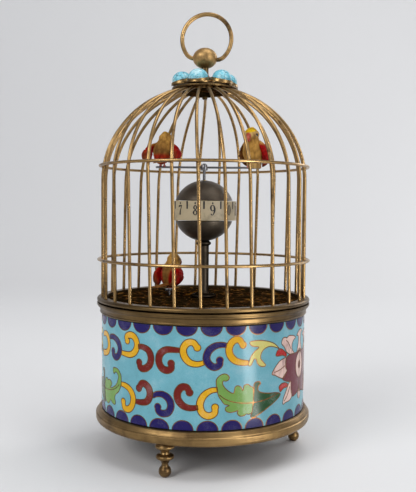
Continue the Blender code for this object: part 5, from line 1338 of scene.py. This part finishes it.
def ringed(places, relief, sides=40):
    """Rings through (forward, aside, up, half length, half width, dip), smoothed and then raised by the relief, a share
    of the radius that depends on the place along the line (0 to 1) and round it."""
    smooth = through(places, False, 10)
    rings = []
    for i, (forward, aside, up, half_length, half_width, dip) in enumerate(smooth):
        ring = []
        for k in range(sides):
            round_deg = 360.0 * k / sides
            ahead, across = polar(1.0 + relief(i / (len(smooth) - 1), round_deg), round_deg)
            ring.append((forward + ahead * half_length, aside + across * half_width, up - ahead * dip))
        rings.append(ring)
    return rings


def scales(rows, columns, depth):
    """Relief of overlapping round feathers that point towards the start of the line."""

    def relief(along, round_deg):
        row = (1.0 - along) * rows
        column = round_deg / 360.0 * columns + 0.5 * (math.floor(row) % 2)
        return depth * ((row + 0.35 * abs(math.cos(math.pi * column))) % 1.0)

    return relief


def blades(columns, depth, start):
    """Relief of a wing: round feathers near its shoulder and long ones from start to the tip."""
    shoulder = scales(9.0, columns, -depth)

    def relief(along, round_deg):
        if along < start:
            return shoulder(along, round_deg)
        return depth * ((round_deg / 360.0 * columns) % 1.0)

    return relief


def painted(shape, painter):
    """Lays a colour on every corner, as painter says from the point's place."""
    paint = shape.loops.layers.float_color.new("plumage")
    for face in shape.faces:
        for corner in face.loops:
            corner[paint] = (*painter(corner.vert.co), 1.0)
    return shape


def blended(first, second, share):
    share = max(0.0, min(1.0, share))
    return tuple(a + (b - a) * share for a, b in zip(first, second))


def leg(foot, top, toes, curl):
    """A leg from top down to foot, with toes that reach forward and curl over what it stands on."""
    shapes = [tube([Vector(top), Vector(foot) + Vector((0, 0, 0.2))], 0.3, (1.0, 0.0, 0.0), 10)]
    for degrees, toe in toes:
        ahead = Vector((*polar(1.0, degrees), 0.0))
        spots = ((-0.1, 0.3), (0.5, 0.32), (0.85, 0.2), (1.0, curl))
        path = [Vector(foot) + ahead * toe * x + Vector((0, 0, z)) for x, z in spots]
        shapes.append(tube(path, (0.2, 0.22, 0.19, 0.1), (-ahead.y, ahead.x, 0.0), 8))
    return shapes


class Bird(SimpleNamespace):
    """A parrot on the origin, beak towards +X. It is made with its height, its tail's length and how far its wings
    stand off (spread), and with any of the others that differ."""

    head = 2.6  # radius
    look_deg = 0.0
    sits_low = False
    crest = 0.3  # share of yellow on the crown
    wings = ("scarlet", "scarlet")
    bare = 9.0  # half width of the breast that stays free of red
    hem = 0.36  # share of the height that is red from the foot up

    def up(self, height):
        """A height that is drawn on a bird 14.4 tall, on this one."""
        return height * self.height / 14.4

    def raised(self, places):
        return [(x, y, self.up(z), *rest) for x, y, z, *rest in places]

    def body(self, tones):
        spine = [  # forward, aside, up, half length, half width, dip
            (-1.5, 0.0, 0.3, 2.1, 2.6, 0.0) if self.sits_low else (-2.4, 0.0, 0.8, 1.1, 1.5, 0.4),
            (-1.6, 0.0, 2.8, 2.6, 3.1, 0.9),
            (-0.6, 0.0, 5.6, 3.5, 3.9, 1.2),
            (0.3, 0.0, 8.3, 3.1, 3.4, 1.1),
            (0.9, 0.0, 10.3, 2.6, 2.7, 0.8),
            (1.2, 0.0, 12.0, self.head, self.head, 0.4),
            (1.0, 0.0, 13.5, 0.62 * self.head, 0.62 * self.head, 0.0),
            (0.5, 0.0, 14.4, 0.5, 0.5, 0.0),
        ]
        ahead = Vector(polar(1.0, self.look_deg))

        def paint(spot):
            up = spot.z / self.height
            facing = ahead.dot(Vector((spot.x - 1.0, spot.y)))
            tone = blended(tones.cream, tones.umber, 0.22 * (-spot.x - 0.6) + 0.3 * (0.35 - up))
            if self.sits_low:
                tone = blended(tone, tones.down, 4.0 * (0.24 - up))
            else:
                folded = min(2.0 * (abs(spot.y + 0.8) - self.bare * (0.4 + up)), 7.0 * (0.62 - up))
                tone = blended(tone, tones.scarlet, max(folded, min(0.8, 9.0 * (self.hem - up))))
            face = max(0.0, min(1.0, 0.8 * facing)) * max(0.0, min(1.0, 12.0 * (up - 0.70)))
            tone = blended(tone, tones.down, 0.6 * face)
            crown = (up - 0.885 + 0.022 * (facing - 1.0)) * self.height / 0.35
            return blended(tone, blended(tone, tones.crest, self.crest), crown)

        return painted(lofted(ringed(self.raised(spine), scales(17, 13, 0.035))), paint)

    def wing(self, tones, side):
        spread_out = self.spread
        spine = [
            (0.3, 2.9, 9.6, 0.9, 0.5, 0.3),
            (-0.6, 3.6 + 0.7 * spread_out, 7.6, 1.9, 1.0, 0.8),
            (-1.8, 3.9 + spread_out, 4.8, 1.9, 1.1 + 0.2 * spread_out, 0.8),
            (-3.2, 3.0 + spread_out, 2.2, 1.2, 0.8 + 0.3 * spread_out, 0.5),
            (-4.0, 1.8 + spread_out, 1.1, 0.4, 0.4, 0.2),
        ]
        main = getattr(tones, self.wings[0 if side > 0 else 1])

        def paint(spot):
            up = spot.z / self.up(1.0)
            edge = max((2.5 - up) / 1.3, (up - 8.0) / 0.9, (-spot.x - 3.0) / 1.4)
            return blended(main, tones.umber if up < 7.0 else tones.cream, 0.8 * edge)

        places = [(x, side * y, *rest) for x, y, *rest in self.raised(spine)]
        return painted(lofted(ringed(places, blades(8, 0.16, 0.42))), paint)

    def tail_feathers(self, tones):
        line = [(-1.6, 2.8, 0.8, 1.0), (-3.6, 1.6, 0.4, 0.7)]  # forward, up, half height, half width
        line += [(-0.85 * self.tail, 0.95, 0.2, 0.6), (-self.tail + 0.1, 0.72, 0.1, 0.25)]
        shapes = []
        for aside, up in ((0.0, 0.28), (-0.75, 0.12), (0.75, 0.12), (-1.35, 0.0), (1.35, 0.0)):
            rings = []
            for x, z, half_height, half_width in through(line, False, 6):
                middle = Vector((x + 0.4 * abs(aside), aside * min(1.0, 0.55 - 0.09 * x), self.up(z) + up * 0.5))
                rings.append([middle + Vector((0, y * half_width, w * half_height)) for y, w in circle(12)])
            tint = blended(blended(tones.umber, tones.cream, 0.45), tones.scarlet, 0.2 * abs(aside))
            shapes.append(painted(lofted(rings), lambda spot: blended(tint, tones.umber, 0.1 * (-spot.x - 6.0))))
        return shapes

    def turned_head(self, shape):
        return moved(shape, shift(1.0) @ turn(self.look_deg) @ shift(-1.0))

    def beak(self):
        upper = ((2.6, 11.4, 1.25), (3.5, 11.35, 1.2), (4.2, 11.05, 1.0), (4.75, 10.4, 0.68))
        upper += ((4.85, 9.8, 0.4), (4.65, 9.3, 0.15))
        lower = ((2.6, 10.2, 0.9), (3.4, 9.95, 0.75), (3.9, 9.75, 0.5), (4.15, 9.7, 0.15))
        shapes = []
        for line in (upper, lower):
            rings = []
            for x, z, half in through(line):
                rings.append([(x, 1.05 * y, self.up(z + rise)) for y, rise in circle(12, half)])
            shapes.append(self.turned_head(lofted(rings)))
        return shapes

    def eyes(self, tones):
        """The beads, and the pale skin round them."""
        beads, skin = [], []
        for side_deg in (-68.0, 68.0):
            for kind, radius, out in ((beads, 0.56, 1.0), (skin, 0.8, 0.92)):
                eye = bmesh.new()
                bmesh.ops.create_uvsphere(eye, u_segments=20, v_segments=12, radius=radius)
                bmesh.ops.scale(eye, verts=eye.verts, vec=(0.42, 1.0, 1.0))
                moved(eye, shift(1.1, 0.0, self.up(11.6)) @ turn(side_deg) @ shift(self.head * out))
                kind.append(self.turned_head(eye))
        return beads, [painted(shape, lambda spot: tones.down) for shape in skin]

    def shapes(self, tones):
        beads, skin = self.eyes(tones)
        soft = [self.body(tones), self.wing(tones, -1.0), self.wing(tones, 1.0), *self.tail_feathers(tones), *skin]
        return joined(soft), self.beak(), joined(beads)


class CLOCK_OT_birds(bpy.types.Operator):
    """Model the perch and the three birds."""

    bl_idname = "clock.birds"
    bl_label = "Perch and birds"

    def execute(self, context):
        tones = context.scene.clock_colours
        bottom, top, end = low("perch_bar"), high("perch_bar"), reach("perch_bar")
        bar_r, bar_z, hub_r, bore_r = 0.4, (bottom + top) / 2.0, 1.4, 0.75
        hub = [(bore_r, bottom), (0.95 * hub_r, bottom), (hub_r, bar_z), (0.8 * hub_r, top), (bore_r, top)]
        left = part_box("perch_bar")[0].x / MM
        shares = ((left, 0.3), (left + 0.12, 0.8), (left + 0.3, 1.0), (end - 0.3, 1.0), (end - 0.12, 0.8), (end, 0.3))
        path = [Vector((x, 0.0, bar_z)) for x, _ in shares]
        bar = tube(path, [bar_r * share for _, share in shares], (0.0, 1.0, 0.0), 16)
        show("perch", joined([turned(eased(hub, 0.35), 32), bar]), "perch", "Steel parts", ("perch_bar",))

        seat, ground = bar_z + bar_r + 0.3, low("floor_bird")
        toes = ((-26.0, 0.95), (0.0, 1.05), (26.0, 0.95))
        over_bar = [(90.0 + degrees, toe) for degrees, toe in toes] + [(-90.0, 0.8)]
        facing = [(degrees - 180.0, toe) for degrees, toe in over_bar]
        on_floor = [(44.0 + degrees, 0.9 * toe) for degrees, toe in toes]
        fluffed = Bird(height=15.9, tail=5.2, spread=0.9, head=3.0, look_deg=4.0, sits_low=True, crest=1.0)
        fluffed.wings = ("scarlet", "umber")
        flock = (  # node, body, place, turn, bird, its legs as (foot, top), toes, curl of the toes
            (
                "perch_bird_right", "perch", (18.9, 0.0, seat - 1.3), -120.0, fluffed,
                [((18.9 + x, -0.1, seat - 0.3), (18.9 + 0.7 * x, -0.3, seat + 1.6)) for x in (-2.1, 2.3)],
                facing, -0.5,
            ),
            (
                "perch_bird_left", "perch", (-16.0, 0.0, seat), 60.0, Bird(height=13.0, tail=6.0, spread=2.8),
                [((x, 0.0, seat - 0.3), (x, 0.0, seat + 2.8)) for x in (-16.75, -15.25)], over_bar, -0.5,
            ),
            (
                "floor_bird", "floor_bird", (-13.4, 6.0, ground), 44.0,
                Bird(height=14.0, tail=9.8, spread=2.2, crest=0.15, bare=1.6, hem=0.1),
                [((x, 6.0, ground - 0.25), (x, 6.0, ground + 3.0)) for x in (-14.0, -12.8)], on_floor, 0.1,
            ),
        )
        for node, body, place, degrees, parrot, legs, toes, curl in flock:
            at = shift(*place) @ turn(degrees) @ shift(1.2)
            plumage, beak, eyes = parrot.shapes(tones)
            hard = [moved(joined(beak), at)]
            for foot, hip in legs:
                hard += leg(foot, hip, toes, curl)
            show(f"{node}_plumage", moved(plumage, at), body, "Feathers", (node,), 50.0)
            show(f"{node}_beak", joined(hard), body, "Horn", (), 50.0)
            show(f"{node}_eyes", moved(eyes, at), body, "Eye bead", (), 60.0)
        return {"FINISHED"}


class CLOCK_OT_movement(bpy.types.Operator):
    """Give the movement, the perch, and every other node that is still shown, its finish."""

    bl_idname = "clock.movement"
    bl_label = "Movement"

    def execute(self, context):
        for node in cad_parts.values():
            if node.hide_render:
                continue
            for holder in node.material_slots:
                holder.material = finish(SLOT_FINISHES[holder.material.name.split(".")[0]])
        return {"FINISHED"}


# Studio, in metres


# The photograph's longer side and the fitted focal length in pixels, and the camera's place and turns in radians
PHOTO_SIDE, FOCAL = 492.0, 730.87
SENSOR = 36.0
CAMERA_AT = (0.0, -0.2807, 0.0909)
YAW, PITCH, ROLL = -0.0059, -0.0475, 0.0076
LAMPS = (  # name, place, aim, width, height, watts
    ("key_softbox", (-0.75, -0.85, 0.75), (0.0, 0.0, 0.08), 0.6, 0.6, 7.2),
    ("strip_light", (0.62, -0.62, 0.16), (0.0, 0.0, 0.07), 0.05, 0.5, 2.4),
    ("low_strip", (0.14, -0.14, 0.024), (0.075, -0.075, 0.424), 0.03, 0.2, 0.26),
    ("fill_softbox", (0.9, -0.9, 0.7), (0.0, 0.0, 0.07), 0.5, 0.5, 3.0),
    ("top_softbox", (0.25, -0.1, 1.0), (0.0, 0.0, 0.1), 0.7, 0.7, 4.2),
    ("rim_light", (0.7, 0.6, 0.5), (0.0, 0.0, 0.1), 0.3, 0.5, 2.0),
)


class CLOCK_OT_studio(bpy.types.Operator):
    """Lay the pale floor, hang the lamps and stand the camera."""

    bl_idname = "clock.studio"
    bl_label = "Studio"

    def execute(self, context):
        scene = context.scene
        line = [(-1.6, 0.0), (0.55, 0.0), *arc(0.55, 0.35, 0.35, -81, 0, 10), (0.9, 1.6)]
        sweep = bmesh.new()
        left, right = [[sweep.verts.new((x, y, z)) for y, z in line] for x in (-1.8, 1.8)]
        for i in range(len(line) - 1):
            sweep.faces.new((left[i], right[i], right[i + 1], left[i + 1]))
        mesh = bpy.data.meshes.new("studio_floor")
        sweep.to_mesh(mesh)
        sweep.free()
        mesh.shade_smooth()
        mesh.materials.append(finish("Studio paper"))
        floor = bpy.data.objects.new("studio_floor", mesh)
        scene.collection.objects.link(floor)

        for name, place, aim, width, tall, watts in LAMPS:
            lamp = bpy.data.lights.new(name, "AREA")
            lamp.shape = "RECTANGLE"
            lamp.size, lamp.size_y, lamp.energy = width, tall, watts
            holder = bpy.data.objects.new(name, lamp)
            holder.location = place
            holder.rotation_euler = (Vector(aim) - Vector(place)).to_track_quat("-Z", "Y").to_euler()
            holder.visible_diffuse = "strip" not in name  # the strips only shine in brass and enamel
            scene.collection.objects.link(holder)

        scene.world = bpy.data.worlds.new("studio_air")
        scene.world.use_nodes = True
        air = scene.world.node_tree.nodes["Background"].inputs
        air["Color"].default_value = (0.9, 0.92, 1.0, 1.0)
        air["Strength"].default_value = 0.3

        lens = bpy.data.cameras.new("view_camera")
        lens.sensor_fit = "AUTO"
        lens.sensor_width = SENSOR
        lens.lens = FOCAL * SENSOR / PHOTO_SIDE
        lens.clip_start = 0.005
        camera = bpy.data.objects.new("view_camera", lens)
        camera.location = CAMERA_AT
        level = Matrix.Rotation(math.pi / 2.0 + PITCH, 4, "X")
        aimed = Matrix.Rotation(YAW, 4, "Z") @ level @ Matrix.Rotation(ROLL, 4, "Z")
        camera.rotation_euler = aimed.to_euler()
        scene.collection.objects.link(camera)
        scene.camera = camera
        scene.view_settings.view_transform = "Standard"
        return {"FINISHED"}


class CLOCK_PT_panel(bpy.types.Panel):
    """Lists the steps that dress the clock."""

    bl_label = "Birdcage Clock"
    bl_idname = "CLOCK_PT_panel"
    bl_space_type = "VIEW_3D"
    bl_region_type = "UI"
    bl_category = "Birdcage Clock"

    def draw(self, context):
        for step in STEPS:
            self.layout.operator(step.bl_idname)
        for group in (context.scene.clock_sizes, context.scene.clock_colours):
            box = self.layout.box()
            for name in group.bl_rna.properties.keys():
                if name not in {"rna_type", "name"}:
                    box.prop(group, name)


STEPS = (
    CLOCK_OT_feet,
    CLOCK_OT_rims,
    CLOCK_OT_drum,
    CLOCK_OT_cage_floor,
    CLOCK_OT_cage,
    CLOCK_OT_crown,
    CLOCK_OT_finial,
    CLOCK_OT_globe,
    CLOCK_OT_hour_band,
    CLOCK_OT_birds,
    CLOCK_OT_movement,
    CLOCK_OT_studio,
)
CLASSES = (ClockSizes, ClockColours, *STEPS, CLOCK_PT_panel)


def register():
    for each in CLASSES:
        bpy.utils.register_class(each)
    bpy.types.Scene.clock_sizes = PointerProperty(type=ClockSizes)
    bpy.types.Scene.clock_colours = PointerProperty(type=ClockColours)


def unregister():
    del bpy.types.Scene.clock_colours
    del bpy.types.Scene.clock_sizes
    for each in reversed(CLASSES):
        bpy.utils.unregister_class(each)


def main():
    register()
    bpy.ops.clock.feet()
    bpy.ops.clock.rims()
    bpy.ops.clock.drum()
    bpy.ops.clock.cage_floor()
    bpy.ops.clock.cage()
    bpy.ops.clock.crown()
    bpy.ops.clock.finial()
    bpy.ops.clock.globe()
    bpy.ops.clock.hour_band()
    bpy.ops.clock.birds()
    bpy.ops.clock.movement()
    bpy.ops.clock.studio()
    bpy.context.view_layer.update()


if __name__ == "__main__":
    main()
